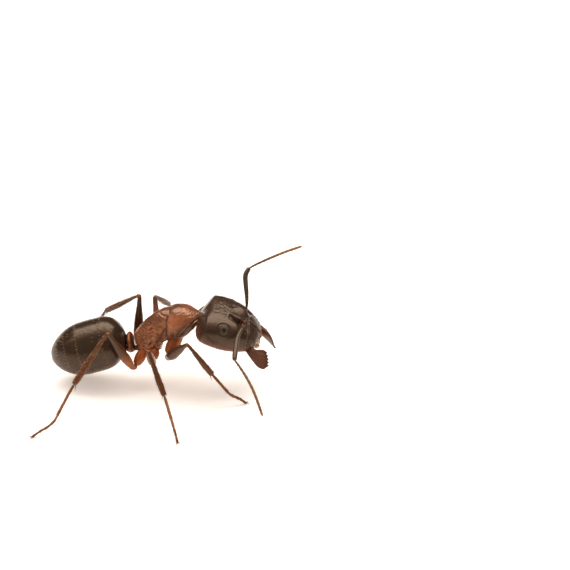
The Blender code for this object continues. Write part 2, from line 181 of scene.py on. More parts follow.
# ---- numbers that vary along a form
def eased(stations: Stations, t: Array) -> Array:
    """A smooth value at each t that never swings past its stations.

    Args:
        stations: (place, value) pairs in rising order of place.
        t: The places asked for.

    Returns:
        The values.
    """
    places = np.array([s[0] for s in stations], float)
    values = np.array([s[1] for s in stations], float)
    rises = np.diff(values) / np.diff(places)
    before, after = rises[:-1], rises[1:]
    same = before * after > 0
    inner = np.where(same, 2 * before * after / np.where(same, before + after, 1.0), 0.0)
    slopes = np.concatenate([rises[:1], inner, rises[-1:]])
    t = np.clip(t, places[0], places[-1])
    i = np.clip(np.searchsorted(places, t, side="right") - 1, 0, len(places) - 2)
    h = places[i + 1] - places[i]
    s = (t - places[i]) / h
    rise = (3 - 2 * s) * s * s
    return (
        values[i] + (values[i + 1] - values[i]) * rise
        + h * s * (1 - s) * ((1 - s) * slopes[i] - s * slopes[i + 1])
    )


def rounded(t: Array, share: float) -> Array:
    """How far a blunt end has opened at t, when it is round over that share of the length."""
    return np.sqrt(np.clip(1 - (1 - np.clip(t / share, 0, 1)) ** 2, 0, 1))


def bell(x: Array, middle: float, spread: float) -> Array:
    """A smooth bump of height 1."""
    return np.exp(-(((x - middle) / spread) ** 2))


def step(x: Array, low: float, high: float) -> Array:
    """A smooth rise from 0 at low to 1 at high."""
    s = np.clip((x - low) / (high - low), 0, 1)
    return s * s * (3 - 2 * s)


def stroke(x: Array, y: Array, path: Sequence[tuple[float, float]], width: float) -> Array:
    """A soft line drawn along a path.

    Args:
        x: First coordinate of each point.
        y: Second coordinate.
        path: The line's corners.
        width: Its half-width, where it has faded to about a third.

    Returns:
        1 on the line, falling smoothly to 0 away from it.
    """
    nearest = np.full(np.shape(x), np.inf)
    for (x0, y0), (x1, y1) in zip(path, path[1:]):
        dx, dy = x1 - x0, y1 - y0
        s = np.clip(((x - x0) * dx + (y - y0) * dy) / (dx * dx + dy * dy), 0, 1)
        nearest = np.minimum(nearest, np.hypot(x - x0 - s * dx, y - y0 - s * dy))
    return np.exp(-((nearest / width) ** 2))


def crumple(points: Array, length: float, seed: int, squeeze: Sequence[float] = (1.0, 1.0, 1.0)) -> Array:
    """An uneven crumpled pattern.

    Args:
        points: Where it is wanted, in millimetres.
        length: The usual length of its waves, in millimetres.
        seed: Picks one pattern out of many.
        squeeze: How much shorter the waves are along each axis.

    Returns:
        Heights, mostly between -1 and 1.
    """
    random, points = np.random.default_rng(seed), points * np.array(squeeze)
    total = np.zeros(points.shape[:-1])
    for _ in range(8):
        way = unit(random.normal(size=3)) * 2 * math.pi / (length * random.uniform(0.65, 1.5))
        total = total + np.sin(points @ way + random.uniform(0, 2 * math.pi))
    return total / 3


def unit(v: Array) -> Array:
    """Rows scaled to length 1."""
    return v / np.maximum(np.linalg.norm(v, axis=-1, keepdims=True), 1e-12)


def split(points: Array) -> tuple[Array, Array, Array]:
    """How far ahead, how far out from the middle and how high each point lies."""
    return points[..., 0], np.abs(points[..., 1]), points[..., 2]


def away(coordinates: Sequence[Array], place: Sequence[float]) -> Array:
    """How far each point lies from a place."""
    return np.sqrt(sum((a - b) ** 2 for a, b in zip(coordinates, place)))


def upright(height: float) -> Array:
    """A move straight up, in millimetres."""
    return np.array([0.0, 0.0, height])


def facing(draw: Callable[[Array, Array], Array], t: Array, angle: Array) -> Array:
    """The outward directions of a drawn surface, from its slopes.

    Args:
        draw: Gives the surface's places at (t, angle).
        t: Places along it.
        angle: Places round it.

    Returns:
        Unit vectors, one row each.
    """
    t = np.clip(t, 0.004, 0.996)
    ahead = draw(t + 0.003, angle) - draw(t - 0.003, angle)
    round_ = draw(t, angle + 0.01) - draw(t, angle - 0.01)
    return unit(np.cross(round_, ahead))


def heading(azimuth: float, elevation: float) -> Array:
    """The unit vector that points that way, in degrees, azimuth 0 ahead and 90 left."""
    a, e = math.radians(azimuth), math.radians(elevation)
    return np.array([math.cos(a) * math.cos(e), math.sin(a) * math.cos(e), math.sin(e)])


def turned(yaw: float = 0.0, pitch: float = 0.0, roll: float = 0.0) -> Array:
    """A 3 by 3 rotation: roll about X, then nose down by pitch, then yaw about Z, in degrees."""
    spin = Matrix.Rotation(math.radians(yaw), 3, "Z") @ Matrix.Rotation(math.radians(pitch), 3, "Y")
    return np.array(spin @ Matrix.Rotation(math.radians(roll), 3, "X"))


# ---- surfaces
class Surface:
    """A closed round-bodied surface: t runs from 0 at one end to 1 at the other and angle goes round.

    t and angle are arrays of one shape in every method, and an answer has a row or a value for each.
    """

    def at(self, t: Array, angle: Array) -> Array:
        """The surface's shape.

        Args:
            t: Places along it.
            angle: Places round it.

        Returns:
            Points on the surface, in millimetres.
        """
        raise NotImplementedError

    def spaced(self, polar: Array) -> Array:
        """Where the rings lie: t for each polar angle from 0 to pi."""
        return (1 - np.cos(polar)) / 2

    def marks(self, t: Array, angle: Array) -> dict[str, Array]:
        """What the finish reads.

        Args:
            t: Places along it.
            angle: Places round it.

        Returns:
            A value at each place, by attribute name.
        """
        return {"along": t}

    def normal(self, t: Array, angle: Array) -> Array:
        """Outward directions at these places."""
        return facing(self.at, t, angle)


@dataclass
class Form(Surface):
    """A body along X, from its rear at 0 to its front at length, the same on both sides.

    Angle 0 is the left flank and a quarter turn is the back. The stations are half-widths, and heights over
    and under the X axis. Each end rounds off over its share of the length, and a fullness over 2 squares the
    section.
    """

    length: float
    rear_round: float
    front_round: float
    width: Stations
    top: Stations
    bottom: Stations
    fullness: float = 2.0
    low_fullness: float = 0.0
    spin: Array = field(default_factory=lambda: np.eye(3))
    place: Array = field(default_factory=lambda: np.zeros(3))

    def plain(self, t: Array, angle: Array) -> Array:
        """The smooth body before its relief.

        Args:
            t: Places along it.
            angle: Places round it.

        Returns:
            Points in the form's own frame.
        """
        y, z = np.cos(angle), np.sin(angle)
        full = np.where(z > 0, self.fullness, self.low_fullness or self.fullness)
        norm = (np.abs(y) ** full + np.abs(z) ** full) ** (1 / full)
        y, z = y / norm, z / norm
        opened = rounded(t, self.rear_round) * rounded(1 - t, self.front_round)
        top, bottom = eased(self.top, t), eased(self.bottom, t)
        height = z * np.where(z > 0, top, bottom) * opened + 0.5 * (top - bottom) * (1 - opened)
        return self.shaped(t, np.stack([t * self.length, y * eased(self.width, t) * opened, height], axis=-1))

    def shaped(self, t: Array, points: Array) -> Array:
        """Larger moves of the plain body, such as a dip or a notch.

        Args:
            t: Places along it.
            points: The body's points there.

        Returns:
            The moved points.
        """
        return points

    def relief(self, t: Array, angle: Array, points: Array) -> Array:
        """The sculpture of the shell.

        Args:
            t: Places along it.
            angle: Places round it.
            points: The plain body's points there.

        Returns:
            Heights along the normal, in millimetres.
        """
        return np.zeros(np.shape(t))

    def own(self, t: Array, angle: Array) -> Array:
        """The body with its relief, in its own frame."""
        points = self.plain(t, angle)
        return points + facing(self.plain, t, angle) * self.relief(t, angle, points)[..., None]

    def at(self, t: Array, angle: Array) -> Array:
        """Places on the finished surface, where the ant stands."""
        return self.own(t, angle) @ self.spin.T + self.place

    def sampled(self, sides: int) -> Array:
        """The plain body at an even grid of places, one row each."""
        t, angle = np.meshgrid(np.linspace(0, 1, 121), np.linspace(-math.pi, math.pi, sides))
        return self.plain(t.ravel(), angle.ravel())

    def seat(self, *nodes: str, shift: Sequence[float] = (0.0, 0.0, 0.0)) -> None:
        """Moves the form so that its box has the same middle as the box of these solids.

        Args:
            nodes: The CAD nodes it stands for.
            shift: A last small move from there, in millimetres.
        """
        points = self.sampled(120) @ self.spin.T
        low, high = box_of(*nodes)
        self.place = (low + high) / 2 - (points.min(axis=0) + points.max(axis=0)) / 2 + np.array(shift)

    def put(self, *local: float) -> Array:
        """A place given in the form's own frame."""
        return self.spin @ np.array(local) + self.place


class Sweep(Surface):
    """A limb: a middle line with a thickness that changes along it."""

    def __init__(
        self,
        line: Sequence[Array],
        radii: Stations,
        flat: float = 1.0,
        reference: Sequence[float] = (0.0, 0.0, 1.0),
        ends: tuple[float, float] = (0.04, 0.04),
        relief: Callable[[Array, Array], Array] | None = None,
    ) -> None:
        """Draws the smooth middle line and its frame.

        Args:
            line: Points that the line goes through, in millimetres.
            radii: Radius stations along it.
            flat: How much thinner it is across the reference direction.
            reference: The direction that angle pi/2 leans to.
            ends: Shares of the length over which each end rounds off.
            relief: Extra radius at (t, angle), if any.
        """
        self.radii, self.flat, self.ends, self.relief = radii, flat, ends, relief
        self.points = smooth_line(line, 160)
        steps = np.linalg.norm(np.diff(self.points, axis=0), axis=1)
        self.reach = np.concatenate([[0.0], np.cumsum(steps)]) / steps.sum()
        self.tangents = unit(np.gradient(self.points, self.reach, axis=0))
        up = np.asarray(reference, float)
        self.ups = unit(up - (self.tangents @ up)[:, None] * self.tangents)

    def spaced(self, polar: Array) -> Array:
        """Rings at nearly even steps, closer at the ends."""
        return polar / math.pi - 0.12 * np.sin(2 * polar) / (2 * math.pi)

    def look(self, rows: Array, t: Array) -> Array:
        """Reads a table of vectors at t."""
        return np.stack([np.interp(t, self.reach, rows[:, i]) for i in range(3)], axis=-1)

    def at(self, t: Array, angle: Array) -> Array:
        """Places on the limb's surface, from the frame of its middle line."""
        tangent = unit(self.look(self.tangents, t))
        up = self.look(self.ups, t)
        up = unit(up - (up * tangent).sum(axis=-1, keepdims=True) * tangent)
        aside = np.cross(up, tangent)
        radius = eased(self.radii, t) * rounded(t, self.ends[0]) * rounded(1 - t, self.ends[1])
        if self.relief is not None:
            radius = radius * (1 + self.relief(t, angle))
        across, rise = radius * np.cos(angle), radius * np.sin(angle) * self.flat
        return self.look(self.points, t) + aside * across[..., None] + up * rise[..., None]


def smooth_line(line: Sequence[Array], count: int) -> Array:
    """A smooth line through some points.

    Args:
        line: The points, in order.
        count: How many points to return.

    Returns:
        Points on a cubic curve through them, one row each.
    """
    points = np.array(line, float)
    if len(points) == 2:
        return points[0] + (points[1] - points[0]) * np.linspace(0, 1, count)[:, None]
    gaps = np.linalg.norm(np.diff(points, axis=0), axis=1)
    knots = np.concatenate([[0.0], np.cumsum(gaps)])
    slopes = np.gradient(points, knots, axis=0)
    asked = np.linspace(0, knots[-1], count)
    i = np.clip(np.searchsorted(knots, asked, side="right") - 1, 0, len(points) - 2)
    h = (knots[i + 1] - knots[i])[:, None]
    s = ((asked - knots[i])[:, None]) / h
    return (
        (2 * s**3 - 3 * s**2 + 1) * points[i]
        + (s**3 - 2 * s**2 + s) * h * slopes[i]
        + (3 * s**2 - 2 * s**3) * points[i + 1]
        + (s**3 - s**2) * h * slopes[i + 1]
    )


# ---- pieces
class Piece:
    """One finished mesh, made of one or more closed surfaces."""

    # edge carries pale rims and painted highlights, deep carries painted shade, ring carries the eyes'
    # painted reflection
    MARKS = ("along", "tint", "edge", "deep", "ring")

    def __init__(self, name: str) -> None:
        """Starts an empty piece."""
        self.name = name
        self.bm = bmesh.new()
        self.layers = {key: self.bm.verts.layers.float.new(key) for key in self.MARKS}

    def add(self, surface: Surface, sides: int, rings: int) -> "Piece":
        """Adds a surface: a sphere's rings drawn over to it.

        Args:
            surface: The surface.
            sides: Faces round it.
            rings: Faces along it.

        Returns:
            The piece itself.
        """
        made = bmesh.ops.create_uvsphere(self.bm, u_segments=sides, v_segments=rings, radius=1.0)["verts"]
        sphere = np.array([v.co for v in made])
        t = surface.spaced(np.arccos(np.clip(-sphere[:, 2], -1, 1)))
        angle = np.arctan2(sphere[:, 1], sphere[:, 0])
        marks = surface.marks(t, angle)
        for i, (vert, point) in enumerate(zip(made, surface.at(t, angle))):
            vert.co = point
            for key, values in marks.items():
                vert[self.layers[key]] = float(values[i])
        return self

    def done(self, finish: "Finish", slot: Slot, *nodes: str) -> None:
        """Turns the piece into an object that rides on the ant.

        Args:
            finish: Its material.
            slot: The record's slot.
            nodes: The CAD nodes it stands for.
        """
        bmesh.ops.recalc_face_normals(self.bm, faces=self.bm.faces)
        bmesh.ops.scale(self.bm, vec=(MM, MM, MM), verts=self.bm.verts)
        mesh = bpy.data.meshes.new(self.name)
        self.bm.to_mesh(mesh)
        self.bm.free()
        mesh.shade_smooth()
        placed(self.name, mesh, finish, slot, *nodes)


def linked(name: str, data: bpy.types.ID) -> bpy.types.Object:
    """Adds an object to the scene.

    Args:
        name: Its name.
        data: The mesh, camera or light that it shows.

    Returns:
        The object.
    """
    made = bpy.data.objects.new(name, data)
    bpy.context.scene.collection.objects.link(made)
    return made


def placed(name: str, mesh: bpy.types.Mesh, finish: "Finish", slot: Slot, *nodes: str) -> None:
    """Adds a finished mesh in metres as a piece of the ant, and logs it.

    Args:
        name: The piece's name.
        mesh: Its mesh.
        finish: Its material.
        slot: The record's slot; not used.
        nodes: The CAD nodes it stands for.
    """
    mesh.materials.append(finish.material())
    piece = linked(name, mesh)
    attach(piece, BODY)
    if nodes:
        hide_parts(*nodes)
    log.info("%-24s %6d faces", name, len(mesh.polygons))


# ---- shader maths
class Wire:
    """A shader socket that adds Math nodes when it is used in an expression."""

    def __init__(self, tree: "Tree", socket: bpy.types.NodeSocket) -> None:
        """Wraps a socket of that tree."""
        self.tree, self.socket = tree, socket

    def _math(self, operation: str, first: "Wire | float", second: "Wire | float") -> "Wire":
        """Adds a Math node over two values."""
        return self.tree.wire("ShaderNodeMath", {"operation": operation}, {0: first, 1: second})

    def __add__(self, other: "Wire | float") -> "Wire":
        """Adds."""
        return self._math("ADD", self, other)

    def __radd__(self, other: float) -> "Wire":
        """Adds, reflected."""
        return self._math("ADD", other, self)

    def __sub__(self, other: "Wire | float") -> "Wire":
        """Subtracts."""
        return self._math("SUBTRACT", self, other)

    def __rsub__(self, other: float) -> "Wire":
        """Subtracts from a number."""
        return self._math("SUBTRACT", other, self)

    def __mul__(self, other: "Wire | float") -> "Wire":
        """Multiplies."""
        return self._math("MULTIPLY", self, other)

    def __rmul__(self, other: float) -> "Wire":
        """Multiplies, reflected."""
        return self._math("MULTIPLY", other, self)

    def __pow__(self, power: float) -> "Wire":
        """Raises to a power."""
        return self._math("POWER", self, power)

    def between(self, low: float, high: float) -> "Wire":
        """0 at low and 1 at high, smooth and clamped."""
        inputs = {"Value": self, "From Min": low, "From Max": high}
        return self.tree.wire("ShaderNodeMapRange", {"interpolation_type": "SMOOTHSTEP"}, inputs)


class Tree:
    """The nodes of one material, or of the room."""

    def __init__(self, owner: bpy.types.Material | bpy.types.World, shader: str = "Principled BSDF") -> None:
        """Turns the owner's nodes on.

        Args:
            owner: The material or world.
            shader: The name of its shader node.
        """
        self.owner = owner
        owner.use_nodes = True
        self.nodes = owner.node_tree.nodes
        self.shader = self.nodes[shader]

    def node(self, kind: str, settings: dict, inputs: dict) -> bpy.types.Node:
        """Adds a node.

        Args:
            kind: The node's type.
            settings: Its properties, set first.
            inputs: Values or wires by socket name or number.

        Returns:
            The node.
        """
        made = self.nodes.new(kind)
        for key, value in settings.items():
            setattr(made, key, value)
        for key, value in inputs.items():
            self.feed(made.inputs[key], value)
        return made

    def feed(self, socket: bpy.types.NodeSocket, value: "Wire | float | Sequence[float]") -> None:
        """Feeds a socket.

        Args:
            socket: The socket.
            value: A wire to link to it, or the value it gets.
        """
        if isinstance(value, Wire):
            self.owner.node_tree.links.new(value.socket, socket)
        else:
            socket.default_value = value

    def wire(self, kind: str, settings: dict, inputs: dict, output: int | str = 0) -> Wire:
        """Adds a node and wraps one of its outputs."""
        return Wire(self, self.node(kind, settings, inputs).outputs[output])

    def dress(self, inputs: dict[str, "Wire | float | Sequence[float]"]) -> bpy.types.ID:
        """Feeds the shader's sockets.

        Args:
            inputs: Wires or values by socket name.

        Returns:
            The material, or the room's light.
        """
        for name, value in inputs.items():
            self.feed(self.shader.inputs[name], value)
        return self.owner

    def attribute(self, name: str) -> Wire:
        """A mesh attribute's value."""
        return self.wire("ShaderNodeAttribute", {"attribute_name": name}, {}, "Fac")

    def places(self, stretch: Sequence[float] = (1, 1, 1), turn: Sequence[float] = (0, 0, 0)) -> Wire:
        """Object coordinates in millimetres.

        Args:
            stretch: How much finer a pattern is along each axis.
            turn: Its turn about each axis, in degrees.

        Returns:
            The coordinates.
        """
        here = self.wire("ShaderNodeTexCoord", {}, {}, "Object")
        size = [s / MM for s in stretch]
        spin = [math.radians(a) for a in turn]
        return self.wire("ShaderNodeMapping", {}, {"Vector": here, "Scale": size, "Rotation": spin})

    def noise(self, places: Wire, scale: float, detail: float, roughness: float = 0.5) -> Wire:
        """A noise pattern's value at some coordinates."""
        inputs = {"Vector": places, "Scale": scale, "Detail": detail, "Roughness": roughness}
        return self.wire("ShaderNodeTexNoise", {}, inputs)

    def cells(self, places: Wire, scale: float) -> Wire:
        """The distance to the middle of the nearest cell of a pattern."""
        inputs = {"Vector": places, "Scale": scale}
        return self.wire("ShaderNodeTexVoronoi", {"feature": "F1"}, inputs, "Distance")

    def mix(self, share: Wire, first: "Wire | Colour", second: Colour) -> Wire:
        """A colour between two.

        Args:
            share: The second colour's share.
            first: The first colour.
            second: The second colour.

        Returns:
            The mixed colour.
        """
        first = first if isinstance(first, Wire) else (*first, 1.0)
        inputs = {"Factor": share, 6: first, 7: (*second, 1.0)}
        return self.wire("ShaderNodeMix", {"data_type": "RGBA"}, inputs, 2)

    def bump(self, height: Wire, distance: float = 1.0) -> Wire:
        """A normal from a height; distance in millimetres."""
        inputs = {"Height": height, "Distance": distance * MM, "Strength": 1.0}
        return self.wire("ShaderNodeBump", {}, inputs)


# ---- finishes
SHEEN = (1.0, 0.75, 0.54)


def dimmed(colour: Colour, share: float) -> Colour:
    """A colour at a share of its brightness."""
    return tuple(share * c for c in colour)


@dataclass(frozen=True)
class Finish:
    """A material that is made once and kept."""

    name: str

    def material(self) -> bpy.types.Material:
        """The finish's material, made on first use."""
        return bpy.data.materials.get(self.name) or self.dress(Tree(bpy.data.materials.new(self.name)))

    def dress(self, tree: Tree) -> bpy.types.Material:
        """Builds the nodes.

        Args:
            tree: The new material's nodes.

        Returns:
            The material.
        """
        raise NotImplementedError


@dataclass(frozen=True)
class Cuticle(Finish):
    """Hard, finely sculptured insect shell.

    dark and light are mixed by the mesh's "tint", rim is the pale edge where its "edge" says so, a thin pale
    rim or a painted highlight along a ridge or seam, and "deep" paints shade into grooves, pits and folds.
    The net of fine cells and the creases are millimetres deep.
    """

    dark: Colour
    light: Colour
    # rim: the pale edge colour, also used as a painted highlight along ridges and seams
    rim: Colour = (0.30, 0.14, 0.05)
    roughness: float = 0.34
    coat: float = 0.25
    coat_roughness: float = 0.16
    net_scale: float = 30.0
    net_depth: float = 0.0012
    crease_scale: float = 5.0
    crease_depth: float = 0.004
    crease_stretch: tuple[float, float, float] = (1.0, 1.0, 1.0)
    crease_turn: tuple[float, float, float] = (0.0, 0.0, 0.0)
    specular: float = 0.5
    sheen: Colour = SHEEN
    blotch: float = 0.5
    smudge: float = 0.35
    # painted shade: how dark grooves, pits and folds are painted, as a share of dark
    painted_shade_share: float = 0.22

    def dress(self, tree: Tree) -> bpy.types.Material:
        """Builds the nodes: blotches, smudges, pale rims and painted highlights, and painted shade in
        grooves, over a net with creases.
        """
        here = tree.places()
        tint = tree.attribute("tint") + (tree.noise(here, 1.3, 4.0) - 0.5) * self.blotch
        shade = tree.noise(here, 6.0, 5.0, 0.6).between(0.25, 0.75)
        colour = tree.mix(tint.between(0.0, 1.0), self.dark, self.light)
        colour = tree.mix(shade * self.smudge, colour, dimmed(self.dark, 0.72))
        # pale rims, and painted highlights along ridges and seams, where edge says so
        colour = tree.mix(tree.attribute("edge"), colour, self.rim)
        # painted shade: darkens grooves, pits, folds and tucked ring fronts where deep says so
        colour = tree.mix(tree.attribute("deep"), colour, dimmed(self.dark, self.painted_shade_share))
        folded = tree.places(self.crease_stretch, self.crease_turn)
        crease = tree.noise(folded, self.crease_scale, 4.0, 0.6)
        height = tree.cells(here, self.net_scale) * self.net_depth + crease * self.crease_depth
        return tree.dress({
            "Base Color": colour,
            "Roughness": self.roughness + (shade - 0.5) * 0.10,
            "Normal": tree.bump(height),
            "Specular IOR Level": self.specular,
            "Specular Tint": (*self.sheen, 1.0),
            "Coat Weight": self.coat,
            "Coat Roughness": self.coat_roughness,
        })


@dataclass(frozen=True)
class LimbCuticle(Finish):
    """Shell of a leg or feeler: amber at the joints and brown between.

    reach is where the brown starts along the limb, and tip_reach where it ends.
    """

    ends: Colour
    middle: Colour
    reach: tuple[float, float]
    tip_reach: tuple[float, float] = (0.95, 1.0)
    roughness: float = 0.21
    specular: float = 0.36
    sheen: Colour = SHEEN

    def dress(self, tree: Tree) -> bpy.types.Material:
        """Builds the nodes: two browns along the limb, smudged, over a fine net."""
        here = tree.places()
        along = tree.attribute("along")
        body = along.between(*self.reach) * (1 - along.between(*self.tip_reach))
        shade = tree.noise(here, 5.0, 4.0, 0.6).between(0.3, 0.7)
        colour = tree.mix(body, self.ends, self.middle)
        return tree.dress({
            "Base Color": tree.mix(shade * 0.35, colour, dimmed(self.middle, 0.6)),
            "Roughness": self.roughness + (shade - 0.5) * 0.12,
            "Normal": tree.bump(tree.cells(here, 34.0) * 0.0012 + tree.noise(here, 12.0, 3.0) * 0.003),
            "Specular IOR Level": self.specular,
            "Specular Tint": (*self.sheen, 1.0),
        })


@dataclass(frozen=True)
class EyeGlaze(Finish):
    """A compound eye: hundreds of tiny lenses over a dark grey-brown ground."""

    ground: Colour = (0.014, 0.010, 0.0075)
    # painted reflection: the grey-brown laid in a ring round the eye's dark middle
    painted_reflection: Colour = (0.118, 0.087, 0.064)
    lenses_per_mm: float = 34.0
    lens_height: float = 0.003
    roughness: float = 0.38
    specular: float = 0.22
    sheen: Colour = (1.0, 0.78, 0.58)

    def dress(self, tree: Tree) -> bpy.types.Material:
        """Builds the nodes: domed lenses, with a painted reflection in a grey-brown ring round a dark middle.
        """
        lens = tree.cells(tree.places(), self.lenses_per_mm)
        return tree.dress({
            # painted reflection: grey-brown in the ring, dark ground in the middle
            "Base Color": tree.mix(tree.attribute("ring") * (1 - lens * 0.8), self.ground, self.painted_reflection),
            "Normal": tree.bump(1 - lens, self.lens_height),
            "Roughness": self.roughness,
            "Specular IOR Level": self.specular,
            "Specular Tint": (*self.sheen, 1.0),
        })


@dataclass(frozen=True)
class Bristle(Finish):
    """Stiff translucent hair, darker at its root."""

    root: Colour = (0.20, 0.10, 0.045)
    tip: Colour = (0.52, 0.34, 0.17)
    gloss: float = 0.4

    def dress(self, tree: Tree) -> bpy.types.Material:
        """Builds the nodes: a colour that runs from root to tip."""
        speckle = tree.noise(tree.places(), 2.0, 2.0)
        return tree.dress({
            "Base Color": tree.mix(tree.attribute("along") * 0.7 + speckle * 0.3, self.root, self.tip),
            "Roughness": 0.45 + speckle * 0.2,
            "Specular IOR Level": self.gloss,
        })


@dataclass(frozen=True)
class Paper(Finish):
    """The plain pale floor, with a little light of its own."""

    colour: Colour = (0.92, 0.93, 0.945)
    grain: float = 0.992
    glow: Colour = (1.0, 0.87, 0.76)
    glow_strength: float = 0.45

    def dress(self, tree: Tree) -> bpy.types.Material:
        """Builds the nodes: a barely seen grain."""
        grain = tree.noise(tree.places(), 0.6, 3.0).between(0.3, 0.7)
        return tree.dress({
            "Base Color": tree.mix(grain, self.colour, dimmed(self.colour, self.grain)),
            "Roughness": 0.85,
            "Specular IOR Level": 0.1,
            "Emission Color": (*self.glow, 1.0),
            "Emission Strength": self.glow_strength,
        })


# its rim colour paints highlights along the clypeus seam and ridge, and the pale front edge
HEAD_SHELL = Cuticle(
    "head shell", dark=(0.043, 0.0220, 0.0140), light=(0.150, 0.052, 0.030), rim=(0.20, 0.145, 0.105),
    roughness=0.28, coat=0.0, crease_scale=9.0, crease_depth=0.0022, specular=0.46,
)
GASTER_SHELL = Cuticle(
    "gaster shell", dark=(0.035, 0.0195, 0.0115), light=(0.082, 0.038, 0.020), rim=(0.20, 0.13, 0.075),
    roughness=0.22, coat=0.0, net_depth=0.0006, crease_scale=13.0, crease_depth=0.0011,
    crease_stretch=(1.6, 0.7, 0.7), specular=0.44,
)
TRUNK_SHELL = Cuticle(
    "trunk shell", dark=(0.112, 0.037, 0.019), light=(0.54, 0.175, 0.070), roughness=0.22, coat=0.05,
    crease_scale=7.0, crease_depth=0.007, crease_stretch=(0.6, 1.6, 1.6), crease_turn=(0.0, 30.0, 0.0),
    specular=0.78,
)
WAIST_SHELL = Cuticle(
    "waist shell", dark=(0.060, 0.021, 0.009), light=(0.40, 0.11, 0.028), roughness=0.30, coat=0.0,
    crease_depth=0.005,
)
HIP_SHELL = Cuticle(
    "hip shell", dark=(0.15, 0.042, 0.014), light=(0.52, 0.13, 0.028), roughness=0.24, coat=0.05,
    crease_depth=0.003,
)
JAW_SHELL = Cuticle(
    "jaw shell", dark=(0.045, 0.019, 0.012), light=(0.155, 0.058, 0.034), roughness=0.36, coat=0.0,
    crease_scale=12.0, crease_depth=0.004, crease_stretch=(0.7, 1.3, 1.3),
)
FEMUR_SHELLS = {
    Pair.FORE: LimbCuticle("fore femur shell", (0.30, 0.085, 0.022), (0.085, 0.036, 0.0185), (0.04, 0.14)),
    Pair.MID: LimbCuticle("mid femur shell", (0.32, 0.090, 0.024), (0.080, 0.034, 0.0170), (0.40, 1.00)),
    Pair.HIND: LimbCuticle("hind femur shell", (0.38, 0.100, 0.022), (0.078, 0.032, 0.0160), (0.20, 0.55)),
}
TIBIA_SHELL = LimbCuticle("tibia shell", (0.13, 0.046, 0.018), (0.150, 0.046, 0.018), (0.02, 0.12))
TARSUS_SHELL = LimbCuticle("tarsus shell", (0.12, 0.045, 0.018), (0.29, 0.095, 0.029), (0.0, 0.25))
SCAPE_SHELL = LimbCuticle("scape shell", (0.16, 0.055, 0.024), (0.052, 0.036, 0.024), (0.03, 0.10))
WHIP_SHELL = LimbCuticle(
    "feeler whip shell", (0.075, 0.045, 0.028), (0.26, 0.12, 0.052), (0.05, 0.8), tip_reach=(0.97, 1.0)
)
MOUTH_SHELL = Cuticle(
    "mouthpart shell", dark=(0.20, 0.070, 0.025), light=(0.55, 0.24, 0.075), roughness=0.35,
    crease_depth=0.003,
)
EYE_GLAZE = EyeGlaze("compound eye")
PALE_BRISTLE = Bristle("pale bristle")
DARK_BRISTLE = Bristle("limb bristle", root=(0.085, 0.036, 0.016), tip=(0.26, 0.125, 0.05), gloss=0.25)
DOWN = Bristle("fine down", root=(0.026, 0.015, 0.009), tip=(0.060, 0.036, 0.020), gloss=0.12)


# ---- bristles
ALL_ROUND = (-math.pi, math.pi)
ON_TOP = (0.15 * math.pi, 0.85 * math.pi)


def strip(index: int, pitch: float, height: float) -> tuple[float, float, float, float]:
    """One of several strips, each a skin's share of a coat's map: left, bottom, width and height."""
    return (0.02, 0.02 + pitch * index, 0.96, height)


